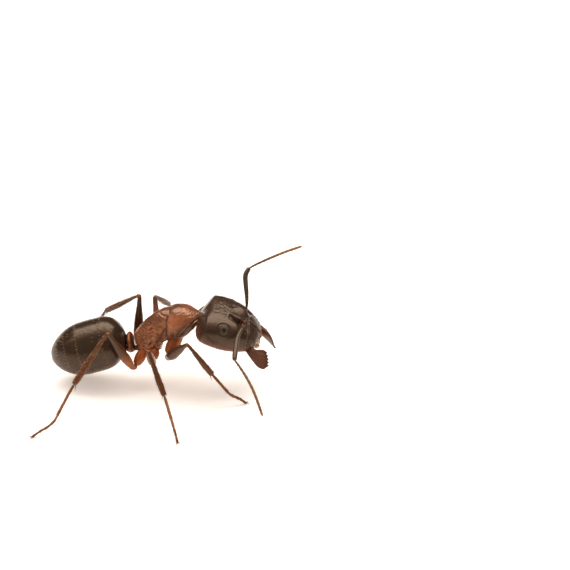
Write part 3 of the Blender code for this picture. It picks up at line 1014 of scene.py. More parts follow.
class Bristles:
    """A piece of many thin tapered hairs, each mapped to its root's place on the skin."""

    SIDES = 3
    RINGS = (0.0, 0.35, 0.7)
    PATCH = 0.003
    SUNK = 0.06
    STRAY = 0.13
    BEND = 0.25

    def __init__(self, name: str, seed: int) -> None:
        """Starts an empty coat.

        Args:
            name: The piece's name.
            seed: Of its own draw of random numbers.
        """
        self.name = name
        self.random = np.random.default_rng(seed)
        self.groups: list[tuple[Array, ...]] = []

    def grow(
        self,
        surface: Surface,
        t: Array,
        angle: Array,
        length: float,
        thickness: float,
        lean: float,
        patch: tuple[float, float, float, float] = strip(0, 0.0, 0.96),
        backwards: bool = False,
    ) -> None:
        """Grows one hair at each place.

        Args:
            surface: The skin they grow on.
            t: Places along it.
            angle: Places round it.
            length: Their length in millimetres, varied by a quarter.
            thickness: Their radius at the root.
            lean: 0 stands straight up and 1 lies along the skin.
            patch: The skin's share of the coat's map.
            backwards: True if they lean towards t = 0.
        """
        roots = surface.at(t, angle)
        out = surface.normal(t, angle)
        along = unit(surface.at(np.clip(t + 0.01, 0, 1), angle) - surface.at(np.clip(t - 0.01, 0, 1), angle))
        if backwards:
            along = -along
        stray = self.random.normal(0.0, self.STRAY, (len(t), 3))
        way = unit(out * (1 - lean) + along * lean + stray)
        sizes = length * self.random.uniform(0.75, 1.2, len(t))
        left, bottom, wide, high = patch
        turns = (angle / (2 * math.pi)) % 1.0
        maps = np.stack([left + turns * wide, bottom + np.clip(t, 0, 1) * high], axis=-1)
        thick = thickness * self.random.uniform(0.85, 1.15, len(t))
        self.groups.append((roots, way, along * self.BEND - out * 0.1, sizes, thick, maps))

    def scatter(
        self,
        surface: Surface,
        count: int,
        reach: tuple[float, float],
        round_: tuple[float, float],
        *hair: float,
        **more: tuple[float, ...] | bool,
    ) -> None:
        """Grows hairs at random places.

        Args:
            surface: The skin they grow on.
            count: How many.
            reach: The two shares of its length that they stay between.
            round_: The two angles that they stay between.
            hair: Their length, thickness and lean, as grow takes them.
            more: Anything else that grow takes.
        """
        t = self.random.uniform(*reach, count)
        angle = self.random.uniform(*round_, count)
        self.grow(surface, t, angle, *hair, **more)

    def done(self, finish: Finish, slot: Slot) -> None:
        """Joins the hairs into one mesh with its OFBake map.

        Args:
            finish: The hairs' material.
            slot: The record's slot.
        """
        roots, way, bend, sizes, thick, maps = (np.concatenate(rows) for rows in zip(*self.groups))
        count, sides = len(roots), self.SIDES
        side = unit(np.cross(way, np.array([0.31, 0.52, 0.79])))
        other = np.cross(way, side)
        rows, along = [], []
        for ring in self.RINGS:
            middle = roots + (way * (ring - self.SUNK) + bend * ring**2) * sizes[:, None]
            wide = (thick * (1 - 0.8 * ring))[:, None]
            for a in (2 * math.pi * k / sides for k in range(sides)):
                rows.append(middle + (side * math.cos(a) + other * math.sin(a)) * wide)
                along.append(np.full(count, ring))
        rows.append(roots + (way + bend) * sizes[:, None])
        along.append(np.ones(count))
        per = len(rows)
        points = np.stack(rows, axis=1).reshape(-1, 3) * MM
        points[:, 2] = np.maximum(points[:, 2], 0.0)
        faces = [tuple(range(sides))[::-1]]
        for a in range(per - 1 - sides):
            b = a + 1 if (a + 1) % sides else a + 1 - sides
            faces.append((a, b, b + sides, a + sides))
        last = per - 1 - sides
        faces += [(last + k, last + (k + 1) % sides, per - 1) for k in range(sides)]
        mesh = bpy.data.meshes.new(self.name)
        every = [tuple(per * i + v for v in face) for i in range(count) for face in faces]
        mesh.from_pydata(points.tolist(), [], every)
        values = np.stack(along, axis=1).ravel().astype(np.float32)
        mesh.attributes.new("along", "FLOAT", "POINT").data.foreach_set("value", values)
        shift = (np.stack([np.arange(per) % sides / sides, values[:per]], axis=-1) - 0.5) * self.PATCH
        spots = np.repeat(maps, per, axis=0) + np.tile(shift, (count, 1))
        corners = np.empty(len(mesh.loops), dtype=np.int32)
        mesh.loops.foreach_get("vertex_index", corners)
        layer = mesh.uv_layers.new(name="OFBake")
        layer.data.foreach_set("uv", spots[corners].ravel().astype(np.float32))
        mesh.shade_smooth()
        placed(self.name, mesh, finish, slot)


# ---- head
class HeadForm(Form):
    """The head: broad and heart-shaped behind, with the face's plates, ridges and pits.

    Its own frame has its origin at its middle, +X towards the jaws. Lines on it are given as (x, side), where
    side is the distance from the middle, and the brim as (x, z).
    """

    notch_depth = 0.26
    crown_relief = (0.0135, 0.0045, 0.0010)
    flatness = 0.88
    flat_edge = 0.06
    planes: tuple[tuple[Array, float], ...] = ()
    socket = (0.70, 0.58)
    eye = (-0.25, 1.44, 0.86)
    jaw_knob = (1.50, 1.20, 0.12)
    jaw_pit = (1.66, 1.02, 0.20)
    lobe = ((-0.60, 0.16), (-0.14, 0.29), (0.14, 0.46), (0.40, 0.51), (0.64, 0.43), (0.95, 0.24),
            (1.10, 0.16))
    groove = ((-0.12, 0.34), (0.14, 0.555), (0.40, 0.56), (0.60, 0.50))
    scape_rest = ((0.50, 0.62), (0.16, 0.66), (-0.12, 0.52))
    front_edge = ((1.93, 0.0), (1.89, 0.5), (1.76, 0.8))
    brim = ((-1.62, -0.30), (-1.20, -0.52), (-0.60, -0.62), (0.2, -0.62))
    clypeus = ((0.0, 0.93), (0.26, 0.98), (0.48, 1.08), (0.72, 1.16), (1.07, 1.24), (1.40, 1.36))

    def shaped(self, t: Array, points: Array) -> Array:
        """The notch behind, the frontal lobes, the feelers' pits, the clypeus and the flattened sides."""
        x, side, z = split(points)
        rear = np.clip(1 - t / 0.34, 0, 1) ** 1.5
        x = x + self.notch_depth * bell(side, 0, 0.95) * rear * self.length / 3.6
        lobes = 0.07 * bell(t, 0.64, 0.15) * bell(side, 0.25, 0.28)
        pits = 0.08 * bell(t, 0.68, 0.09) * bell(side, 0.70, 0.20)
        plate = 0.06 * bell(t, 0.90, 0.09) * bell(side, 0, 0.60)
        z = z + (lobes - pits + plate) * step(z, 0.1, 0.3)
        x = x + 0.10 * bell(side, 0, 0.60) * np.clip((t - 0.80) / 0.20, 0, 1)
        points = np.stack([x - self.length / 2, points[..., 1], z], axis=-1)
        for way, level in self.planes:
            over = points @ way - level
            taken = over - self.flat_edge * (1 - np.exp(-over / self.flat_edge))
            points = points - way * (self.flatness * np.where(over > 0, taken, 0.0))[..., None]
        return points

    def planed(self, way: Array, depth: float) -> None:
        """Flattens the side that faces one way, and the same on the other side of the head.

        Args:
            way: The direction that the flat faces, in the head's own frame.
            depth: How much is taken off at most, in millimetres.
        """
        level = float((self.sampled(121) @ way).max()) - depth
        self.planes = tuple((way * np.array([1.0, s, 1.0]), level) for s in (1.0, -1.0))

    def behind_clypeus(self, x: Array, side: Array) -> Array:
        """How far behind the seam of the clypeus each point lies, in millimetres."""
        return eased(self.clypeus, side) - x

    def relief(self, t: Array, angle: Array, points: Array) -> Array:
        """The face's plates and ridges, the sockets, the eyes' orbits, the jaws' hinges and fine lines."""
        x, side, z = split(points)
        inside, raised = self.frontal_lobe(x, side)
        sunk = self.hollows(x, side) * (1 - inside)
        face = raised - sunk + self.socket_rim(x, side) + self.shield(x, side)
        brim = -0.028 * stroke(x, z, self.brim, 0.055) * step(side, 0.6, 1.0)
        under = -0.030 * bell(side, 0.0, 0.035) + brim
        orbit = away((x, side, z), self.eye)
        orbits = -0.030 * bell(orbit, 0.355, 0.035) + 0.012 * bell(orbit, 0.44, 0.05)
        hinge = 0.06 * bell(away((x, side, z), self.jaw_knob), 0.0, 0.17)
        hinge -= 0.05 * bell(away((x, side, z), self.jaw_pit), 0.0, 0.12)
        crown = step(z, 0.90, 1.06) * step(-x, -0.40, 0.30) * step(-side, -0.85, -0.40)
        coarse, fine, everywhere = self.crown_relief
        lines = coarse * crumple(points, 0.18, 5, (1.0, 0.8, 1.0)) + fine * crumple(points, 0.08, 15)
        lines = crown * lines + everywhere * crumple(points, 0.16, 6)
        return step(z, 0.05, 0.35) * face + orbits + hinge + lines + step(-z, 0.1, 0.4) * under

    def frontal_lobe(self, x: Array, side: Array) -> tuple[Array, Array]:
        """The lobes between the feelers.

        Args:
            x: How far ahead each point lies.
            side: How far from the middle.

        Returns:
            1 inside a lobe's edge and 0 outside, and the lobe's height.
        """
        edge = eased(self.lobe, x)
        inside = step(edge - side, -0.035, 0.035)
        reach = step(x, -0.55, 0.15) * step(-x, -1.12, -0.88)
        return inside, inside * reach * (0.030 + 0.115 * bell(side, edge, 0.26) * bell(x, 0.42, 0.40))

    def hollows(self, x: Array, side: Array) -> Array:
        """The pit, the groove beside the lobe and the furrow that the scape lies in.

        Args:
            x: How far ahead each point lies.
            side: How far from the middle.

        Returns:
            Their depth.
        """
        pit = np.hypot(x - 0.56, (side - 0.66) * 1.15)
        groove = 0.10 * stroke(x, side, self.groove, 0.055) + 0.035 * stroke(x, side, self.scape_rest, 0.13)
        return 0.09 * bell(pit, 0.0, 0.16) + groove

    def socket_rim(self, x: Array, side: Array) -> Array:
        """The height of the ring round each feeler's socket, hollow within."""
        ring = np.hypot(x - self.socket[0], side - self.socket[1])
        return 0.050 * bell(ring, 0.15, 0.04) - 0.06 * bell(ring, 0.0, 0.09)

    def shield(self, x: Array, side: Array) -> Array:
        """The clypeus with its seam, ridge and notched front, and the line up the brow.

        Args:
            x: How far ahead each point lies.
            side: How far from the middle.

        Returns:
            Their height.
        """
        gap = self.behind_clypeus(x, side)
        seam = -0.035 * bell(gap, 0.0, 0.030) + 0.020 * bell(gap, 0.055, 0.035)
        plate = 0.035 * step(-gap, 0.02, 0.10) * step(-side, -1.25, -0.9)
        ridge = 0.050 * bell(side, 0.0, 0.055) * step(x, 0.95, 1.15)
        furrow = -0.014 * bell(side, 0.0, 0.022) * step(-x, -0.95, -0.8) * step(x, -0.7, -0.3)
        notches = 0.030 * bell(x, 1.86, 0.05) * np.cos(side * 14.0) * step(-side, -0.8, -0.6)
        return seam + plate + ridge + furrow + notches

    def marks(self, t: Array, angle: Array) -> dict[str, Array]:
        """Reddish cheeks, underside and sockets, the underside also lightened as painted bounce light from
        the floor; a pale front edge and painted highlights along the clypeus seam and ridge; painted shade in
        the pits; the rest dark.
        """
        x, side, z = split(self.own(t, angle))
        ring = np.hypot(x - self.socket[0], side - self.socket[1])
        # reddish cheeks and underside, also lightened below as painted bounce light from the floor
        warm = 0.95 * step(-z, -0.55, 0.55) * step(side, 0.4, 1.2) + 0.35 * step(x, 1.3, 2.0)
        warm = warm + 1.3 * bell(ring, 0.0, 0.16) * step(z, 0.3, 0.5) + 0.25 * step(-x, 0.9, 1.8)
        # painted highlights: light lines along the clypeus seam and the median ridge
        seam = 0.45 * bell(self.behind_clypeus(x, side), 0.05, 0.03) * step(side, 0.2, 0.35)
        ridge = 0.6 * bell(side, 0.0, 0.035) * step(x, 1.02, 1.15)
        edge = step(z, 0.0, 0.2) * (0.6 * stroke(x, side, self.front_edge, 0.03) + seam + ridge)
        # painted shade in the feeler's pit and the groove beside the frontal lobe
        pit = np.hypot(x - 0.54, (side - 0.62) * 1.15)
        hollow = np.maximum(bell(pit, 0.0, 0.13), stroke(x, side, self.groove, 0.05))
        outside = (1 - step(eased(self.lobe, x) - side, -0.03, 0.02)) * (1 - bell(ring, 0.0, 0.13))
        return {"along": t, "tint": warm, "edge": edge, "deep": 0.8 * hollow * outside * step(z, 0.1, 0.3)}


def head_form() -> HeadForm:
    """The head, turned as it is held and seated on its solid."""
    form = HeadForm(
        length=3.92,
        rear_round=0.19,
        front_round=0.07,
        width=((0.0, 1.48), (0.14, 1.71), (0.30, 1.82), (0.50, 1.76), (0.72, 1.53), (0.88, 1.24),
               (1.0, 0.94)),
        top=((0.0, 0.68), (0.20, 0.96), (0.38, 1.12), (0.58, 1.13), (0.78, 0.90), (0.92, 0.51), (1.0, 0.25)),
        bottom=((0.0, 0.78), (0.20, 0.97), (0.44, 1.03), (0.66, 0.92), (0.86, 0.68), (1.0, 0.44)),
        fullness=2.7,
        low_fullness=2.35,
        spin=turned(-4, 21, 10),
    )
    form.planed(form.spin.T @ unit(np.array([-0.753, 0.215, 0.62])), 0.235)
    form.seat("head")
    return form


class EyeDome(Surface):
    """A ball set deep in its orbit, so that a low dome shows; its middle is darker than its rim, a painted
    reflection.
    """

    shown = 0.52

    def __init__(self, middle: Array, out: Array, radius: float) -> None:
        """Places the ball.

        Args:
            middle: Its middle.
            out: The way it faces.
            radius: Of the ball.
        """
        self.middle, self.out, self.radius = middle, unit(out), radius
        self.across = unit(np.cross(self.out, np.array([0.0, 0.0, 1.0])))
        self.up = np.cross(self.across, self.out)

    def at(self, t: Array, angle: Array) -> Array:
        """Places on the ball: t is 0 at its buried pole and 1 at its top."""
        wide, rise = np.sin(t * math.pi) * self.radius, -np.cos(t * math.pi) * self.radius
        flat = self.across * np.cos(angle)[..., None] + self.up * np.sin(angle)[..., None]
        return self.middle + flat * wide[..., None] + self.out * rise[..., None]

    def spaced(self, polar: Array) -> Array:
        """More rings near the top."""
        return np.sqrt(np.clip(polar / math.pi, 0, 1))

    def marks(self, t: Array, angle: Array) -> dict[str, Array]:
        """A painted reflection: a grey-brown ring round a dark middle, with painted shade where it meets its
        orbit.
        """
        far = (1 - t) * math.pi / self.shown
        # painted reflection in the ring, painted shade at the orbit's edge
        return {"along": t, "ring": step(far, 0.16, 0.56) * step(-far, -1.08, -0.88)}


@dataclass
class Head:
    """The head capsule with its eyes, jaws, mouthparts and feelers, and the skins that hair grows on."""

    form: HeadForm = field(default_factory=head_form)
    eye_radius: float = 0.66
    eye_depth: float = 0.265
    eye_way: tuple[float, float, float] = (0.0, 0.62, 0.785)
    socket: tuple[float, float, float] = (0.71, 0.58, 0.98)
    scape_radii: Stations = (
        (0.0, 0.060), (0.03, 0.088), (0.07, 0.062), (0.20, 0.092), (0.50, 0.135), (0.85, 0.150),
        (0.96, 0.135), (1.0, 0.10),
    )
    scape_cuts: tuple[float, ...] = (0.45, 0.65, 0.85)
    scape_bows: dict[Side, tuple[float, ...]] = field(
        default_factory=lambda: {Side.RIGHT: (0.20, 0.16, 0.08), Side.LEFT: (0.15, 0.23, 0.23)}
    )
    whip_radii: Stations = (
        (0.0, 0.050), (0.03, 0.062), (0.10, 0.066), (0.5, 0.080), (0.9, 0.078), (1.0, 0.055)
    )
    whip_cuts: tuple[float, ...] = (0.12, 0.3, 0.5, 0.7, 0.88, 0.96)
    whip_bows: dict[Side, tuple[float, ...]] = field(
        default_factory=lambda: {Side.RIGHT: (0.09, 0.0, 0.05), Side.LEFT: (0.0, 0.0, -0.01)}
    )
    whip_segments: int = 11
    skins: dict[str, Surface] = field(default_factory=dict)

    def build(self) -> None:
        """Makes every piece of the head."""
        Piece("head_capsule").add(self.form, 300, 220).done(HEAD_SHELL, Slot.BLACK, "head")
        for side in Side:
            self.eye(side)
            Jaw(side, self.form, JAW_STANCES[side]).build(f"mandible_{side.word}")
            self.feeler(side)
        self.mouth()

    def eye(self, side: Side) -> None:
        """One compound eye.

        Args:
            side: Right or left.
        """
        node = f"eye_{side.word}"
        low, high = box_of(node)
        out = self.form.spin @ unit(np.array(self.eye_way) * (1, side.value, 1))
        dome = EyeDome((low + high) / 2 - out * self.eye_depth, out, self.eye_radius)
        Piece(f"{node}_lenses").add(dome, 96, 64).done(EYE_GLAZE, Slot.EYE, node)

    def feeler(self, side: Side) -> None:
        """One antenna: its scape, elbow and whip.

        Args:
            side: Right or left.
        """
        scape, whip = f"scape_{side.word}", f"flagellum_{side.word}"
        elbow = joint_of(scape, whip)
        socket = self.form.put(self.socket[0], self.socket[1] * side.value, self.socket[2])
        core = core_of(scape, socket, elbow, self.scape_cuts)
        for bow, point in zip(self.scape_bows[side], core[1:-1]):
            point[0] -= bow
        bulb = socket + unit(self.form.spin[:, 2] * 0.4 + unit(elbow - socket)) * 0.16
        line = [socket, bulb, *core[1:-1], elbow + (elbow - core[-2]) * 0.1]
        shaft = Sweep(line, self.scape_radii, 0.95, ends=(0.02, 0.03))
        Piece(f"{scape}_shaft").add(shaft, 32, 110).done(SCAPE_SHELL, Slot.FEELER, scape)
        points = points_of(whip)
        tip = points[np.argmax(np.linalg.norm(points - elbow, axis=1))]
        core = core_of(whip, elbow, tip, self.whip_cuts)
        for share, point in zip(self.whip_cuts, core[1:-1]):
            point += np.array(self.whip_bows[side]) * math.sin(math.pi * share)
        line = [elbow + (elbow - core[1]) * 0.1, *core[1:-1]]
        lash = Sweep(line, self.whip_radii, relief=self.rings)
        Piece(f"{whip}_whip").add(lash, 20, 260).done(WHIP_SHELL, Slot.FEELER, whip)
        self.skins[scape], self.skins[whip] = shaft, lash

    def rings(self, t: Array, angle: Array) -> Array:
        """The pinch between the whip's segments, the first one longer than the rest."""
        place = np.clip((t - 0.03) / 0.97 * (self.whip_segments + 0.6) - 0.6, 0, None) % 1.0
        return 0.13 * step(place, 0.0, 0.55) - 0.10 - 0.22 * step(place, 0.88, 1.0)

    def mouth(self) -> None:
        """The lip with a blade at each side, and the palps under it."""
        piece = Piece("mouthparts")
        lip = self.part(1, ((1.60, 0, -0.06), (1.98, 0, -0.24), (2.08, 0, -0.50)), ((0.0, 0.42), (1.0, 0.34)),
                        flat=0.30, reference=self.form.spin[:, 0], ends=(0.3, 0.3))
        piece.add(Marked(lip, tint=0.9), 32, 24)
        for s in (side.value for side in Side):
            blade = self.part(s, ((1.60, 0.55, -0.08), (1.96, 0.50, -0.14), (2.03, 0.40, -0.44)),
                              ((0.0, 0.20), (0.6, 0.17), (1.0, 0.10)), flat=0.6, ends=(0.3, 0.3))
            reed = ((1.40, 0.36, -0.42), (1.62, 0.44, -0.56), (1.50, 0.48, -0.72), (1.20, 0.50, -0.80))
            palp = self.part(s, reed, ((0.0, 0.036), (0.5, 0.036), (1.0, 0.02)), relief=self.palp_rings)
            short = self.part(s, ((1.50, 0.12, -0.44), (1.74, 0.16, -0.60), (1.68, 0.18, -0.80)),
                              ((0.0, 0.028), (1.0, 0.016)))
            piece.add(Marked(blade, tint=0.8), 20, 24)
            piece.add(Marked(palp, tint=0.3), 10, 60)
            piece.add(Marked(short, tint=0.3), 10, 30)
        piece.done(MOUTH_SHELL, Slot.AMBER)

    def part(self, s: int, line: Sequence[Sequence[float]], radii: Stations, **more: object) -> Sweep:
        """One of the mouth's parts.

        Args:
            s: The sign of its side.
            line: Its middle line on the left, in the head's own frame.
            radii: Its radius stations.
            more: Anything else that a Sweep takes.

        Returns:
            The part's surface.
        """
        return Sweep([self.form.put(x, y * s, z) for x, y, z in line], radii, **more)

    @staticmethod
    def palp_rings(t: Array, angle: Array) -> Array:
        """The pinch between a palp's six segments."""
        return 0.25 * np.abs(np.sin(t * 6 * math.pi)) - 0.2


@dataclass(frozen=True)
class JawStance:
    """How a jaw is held and how much of it shows.

    hinge is in the head's own frame, turn is its yaw, pitch and roll in degrees, and bend is how far its tip
    curves out of its plane.
    """

    length: float
    thickness: float
    bend: float
    hinge: tuple[float, float, float]
    turn: tuple[float, float, float]


JAW_STANCES = {
    Side.RIGHT: JawStance(1.48, 0.36, 0.40, (1.62, 1.12, -0.13), (-54, 10, 56)),
    Side.LEFT: JawStance(1.46, 0.56, 0.86, (1.64, 1.08, -0.24), (7, 19.5, -22.5)),
}


@dataclass
class Jaw:
    """A mandible: a broad curved blade with a row of teeth along its free edge."""

    side: Side
    head: HeadForm
    stance: JawStance
    teeth: int = 5
    columns: int = 72
    rows: int = 60

    def blade(self) -> tuple[Array, Array]:
        """The smooth outer and inner margins, as rows of x and y, hinge to teeth."""
        size = self.stance.length
        outer = [(-0.30, 0.20), (0.0, 0.25), (0.45 * size, 0.26 * size), (0.80 * size, 0.30 * size),
                 (0.95 * size, 0.235 * size), (size, 0.10 * size)]
        inner = [(-0.30, -0.20), (0.0, -0.23), (0.26 * size, -0.28), (0.45 * size, -0.32 * size),
                 (0.56 * size, -0.385 * size), (0.64 * size, -0.40 * size)]
        count = self.columns + 1
        rows = [smooth_line([np.array([*p, 0.0]) for p in edge], count)[:, :2] for edge in (outer, inner)]
        return rows[0], rows[1]

    def toothed(self, s: Array, r: Array) -> Array:
        """The blade's flat outline.

        Args:
            s: Shares of the way from hinge to teeth.
            r: Shares of the way from the outer to the inner margin.

        Returns:
            Rows of x and y.
        """
        outer, inner = self.blade()
        column = np.clip(np.round(s * self.columns).astype(int), 0, self.columns)
        flat = outer[column] * (1 - r)[:, None] + inner[column] * r[:, None]
        across = inner[-1] - outer[-1]
        ahead = np.array([-across[1], across[0]]) / np.linalg.norm(across)
        place = (r * self.teeth) % 1.0
        peak = np.where(place < 0.62, place / 0.62, (1 - place) / 0.38)
        bite = peak**1.5 * (0.095 + 0.04 * (r < 1 / self.teeth)) * step(s, 0.86, 1.0)
        return flat + ahead * (bite + 0.05 * np.sin(np.pi * r) * step(s, 0.6, 1.0))[:, None]

    def build(self, node: str) -> None:
        """Makes the blade from two copies of a grid, one for each face.

        Args:
            node: The CAD node it replaces.
        """
        piece = Piece(f"{node}_blade")
        bmesh.ops.create_grid(piece.bm, x_segments=self.columns, y_segments=self.rows, size=0.5)
        grid = np.array([v.co for v in piece.bm.verts])
        s, r = grid[:, 0] + 0.5, grid[:, 1] + 0.5
        flat = self.toothed(s, r)
        rim = rounded(r, 0.24) * rounded(1 - r, 0.24) * rounded(1 - s, 0.42)
        half = self.stance.thickness / 2 * (1.25 - 0.70 * s) * rim
        share = np.clip(flat[:, 0] / self.stance.length, 0, 1)
        bend = -self.stance.bend * share**2 + 0.30 * (r - 0.45) ** 2 * step(s, 0.2, 0.8) - 0.02
        ridges = 0.010 * np.sin(r * 34) * step(s, 0.5, 0.8) * rim
        wrinkled = crumple(np.stack([flat[:, 0], flat[:, 1], 0 * r], axis=-1), 0.20, 11, (1.0, 1.5, 1.0))
        ridges = ridges + 0.010 * wrinkled * rim
        copied = bmesh.ops.duplicate(piece.bm, geom=piece.bm.verts[:] + piece.bm.edges[:] + piece.bm.faces[:])
        under = [g for g in copied["geom"] if isinstance(g, bmesh.types.BMVert)]
        copies = set(under)
        over = [v for v in piece.bm.verts if v not in copies]
        x, y, z = self.stance.hinge
        hinge, turn = self.head.put(x, y * self.side.value, z), turned(*self.stance.turn)
        tint = 0.75 - 0.35 * step(s, 0.85, 1.0) - 0.35 * (s < 0.3)
        for verts, sign in ((over, 1), (under, -1)):
            for i, vert in enumerate(verts):
                high = bend[i] + sign * (half[i] + ridges[i])
                vert.co = turn @ np.array([flat[i, 0], flat[i, 1] * self.side.value, high]) + hinge
                vert[piece.layers["tint"]], vert[piece.layers["along"]] = float(tint[i]), float(s[i])
        bmesh.ops.remove_doubles(piece.bm, verts=piece.bm.verts, dist=1e-5)
        open_edges = [e for e in piece.bm.edges if e.is_boundary]
        if open_edges:
            bmesh.ops.bridge_loops(piece.bm, edges=open_edges)
        piece.done(JAW_SHELL, Slot.LIMB, node)


# ---- trunk
class TrunkForm(Form):
    """The mesosoma, with the seams between its plates.

    A seam is given as (degrees round from the flank to the back, x), and a line on the flank as (x, z).
    """

    first_seam = ((-90, 1.90), (-25, 1.92), (0, 1.96), (23, 2.04), (38, 2.15), (49, 2.38), (62, 2.66),
                  (75, 2.86), (90, 2.96))
    second_seam = ((-90, 0.40), (-20, 0.55), (13, 0.79), (34, 1.06), (52, 1.30), (66, 1.48), (80, 1.62),
                   (90, 1.72))
    seam_slant = 0.8
    low_groove = ((4.20, 0.19), (3.90, 0.30), (3.51, 0.31), (3.12, 0.19), (2.68, 0.02))
    fold = ((2.17, 0.65), (1.60, 0.30), (1.16, 0.12), (0.81, -0.17))
    crest = ((2.05, 0.80), (1.50, 0.48), (1.08, 0.28))
    hip_hollow = ((2.55, -0.18), (2.9, -0.22))
    spiracles = ((1.46, 0.88, 0.07), (1.64, 0.92, 0.06), (0.88, 0.92, 0.08))

    def shaped(self, t: Array, points: Array) -> Array:
        """A shallow dip across the back at each seam, and a pinch at the flanks."""
        x, y, z = points[..., 0], points[..., 1], points[..., 2]
        dip = 0.035 * bell(t, 0.38, 0.05) + 0.03 * bell(t, 0.66, 0.04)
        pinch = 1 - 0.12 * bell(t, 0.42, 0.07) - 0.05 * bell(t, 0.52, 0.05)
        return np.stack([x, y * pinch, z - dip * step(z, 0.3, 0.7)], axis=-1)

    def ahead_of(self, seam: Stations, points: Array) -> Array:
        """How far ahead of a seam each point lies.

        Args:
            seam: The seam's stations.
            points: The places.

        Returns:
            Distances in millimetres, negative behind it.
        """
        x, side, z = split(points)
        return (x - eased(seam, np.degrees(np.arctan2(z, side)))) * self.seam_slant

    @staticmethod
    def marked(z: Array) -> Array:
        """Where the first seam is cut deep: 1 in two stretches of the flank."""
        return np.maximum(bell(z, 0.95, 0.17), bell(z, 0.42, 0.20))

    @staticmethod
    def beads(z: Array) -> Array:
        """The uneven row of knobs along the second seam: 1 in the gaps between them."""
        return 0.5 + 0.5 * np.sin(z * 24.0 + 2.2 * np.sin(z * 6.5 + 0.6))

    @staticmethod
    def wrinkles(points: Array) -> Array:
        """Thin winding lines, 1 at their middle, that run up and back over the flank."""
        return np.exp(-(crumple(points, 0.60, 9, (1.3, 1.0, 0.6)) / 0.15) ** 2)

    def relief(self, t: Array, angle: Array, points: Array) -> Array:
        """Grooves, folds, spiracles and the ribbing of the rear."""
        x, side, z = split(points)
        first, second = self.ahead_of(self.first_seam, points), self.ahead_of(self.second_seam, points)
        beads, behind = self.beads(z), step(-first, 0.0, 0.1)
        groove = -0.070 * (0.10 + 0.90 * self.marked(z)) * bell(first, -0.02, 0.045)
        lip = 0.020 * step(first, -0.05, 0.22) * step(-first, -0.9, -0.2)
        flank = -0.090 * beads * bell(second, 0, 0.08) + 0.060 * (1 - beads) * bell(second, 0.0, 0.10)
        flank -= 0.055 * stroke(x, z, self.low_groove, 0.045)
        flank -= 0.03 * step(-z, -0.22, -0.12) * step(x, 2.6, 2.9)
        flank += -0.080 * stroke(x, z, self.fold, 0.075) + 0.045 * stroke(x, z, self.crest, 0.09)
        flank -= 0.03 * stroke(x, z, self.hip_hollow, 0.10)
        for x0, z0, size in self.spiracles:
            ring = np.hypot((x - x0) * 1.2, z - z0)
            flank += 0.035 * bell(ring, size, 0.03) - 0.04 * bell(ring, 0.0, size * 0.6)
        rough = 0.024 * crumple(points, 0.30, 7, (1.0, 1.0, 0.7)) - 0.045 * self.wrinkles(points)
        flank += behind * rough
        flank += 0.010 * np.sin((x + z * 0.7) * 30.0) * bell(x, 1.30, 0.30) * bell(z, 0.85, 0.30)
        ribs = np.sin((x * 0.75 + z) * 30.0 + 2.5 * np.sin(x * 5.0 - z * 3.0)) * step(-first, 0.02, 0.2)
        fine = 0.014 * ribs * step(side, 0.15, 0.4)
        fine += 0.0045 * crumple(points, 0.12, 8, (0.6, 1.0, 1.5))
        fine += 0.0080 * (1 - behind) * crumple(points, 0.20, 21, (0.45, 1.0, 1.9))
        return groove + lip + flank * step(side, 0.30, 0.55) + fine

    def marks(self, t: Array, angle: Array) -> dict[str, Array]:
        """Orange-red flanks of the first plate, browner elsewhere, with painted shade in the seams, the fold,
        the low groove, the wrinkles and between the second seam's knobs.
        """
        own = self.own(t, angle)
        x, side, z = split(own)
        first, second = self.ahead_of(self.first_seam, own), self.ahead_of(self.second_seam, own)
        beads, behind, flank = self.beads(z), step(-first, 0.0, 0.1), step(side, 0.30, 0.55)
        patch = bell(x, 2.70, 0.55) * bell(z, 0.90, 0.45) * step(first, 0.0, 0.08)
        warm = 0.40 + 0.16 * behind + 0.55 * patch - 0.35 * step(first, 0.1, 0.4) * step(-z, -0.62, -0.25)
        # painted shade: darker along both seams
        warm = warm - 0.12 * bell(second, 0, 0.07) - 0.30 * bell(first, -0.01, 0.07)
        warm = warm + 0.45 * bell(x, 1.45, 0.22) * bell(z, 0.85, 0.22) - 0.25 * step(z, 1.0, 1.4)
        warm = warm + 0.8 * step(-z, -0.10, 0.15) * bell(x, 2.5, 0.3) + 0.5 * step(-x, -0.25, 0.1)
        warm = warm + 0.50 * (1 - beads) * bell(second, 0.0, 0.10) * flank
        # painted shade in the wrinkles, between the knobs, in the low groove and in the fold
        deep = 0.30 * self.wrinkles(own) * behind + 0.45 * beads * bell(second, 0, 0.07)
        deep += 0.6 * stroke(x, z, self.low_groove, 0.035) + 0.60 * stroke(x, z, self.fold, 0.07)
        # painted shade in the first seam
        seam = 0.85 * bell(first, -0.03, 0.040) * (0.12 + 0.88 * self.marked(z))
        return {"along": t, "tint": warm, "deep": seam + deep * flank}


def trunk_form() -> TrunkForm:
    """The mesosoma, seated on its three solids."""
    form = TrunkForm(
        length=4.28,
        rear_round=0.10,
        front_round=0.16,
        width=((0.0, 0.60), (0.22, 0.72), (0.45, 0.80), (0.68, 1.06), (0.84, 0.98), (1.0, 0.55)),
        top=((0.0, 0.92), (0.22, 1.33), (0.45, 1.60), (0.72, 1.41), (0.86, 1.12), (1.0, 0.46)),
        bottom=((0.0, 0.34), (0.24, 0.50), (0.42, -0.08), (0.49, -0.10), (0.64, 0.41), (0.84, 0.14),
                (1.0, -0.06)),
        fullness=2.3,
        spin=turned(pitch=-29.9),
    )
    form.seat("propodeum", "mesonotum", "pronotum", shift=(0.0, 0.0, -0.03))
    return form


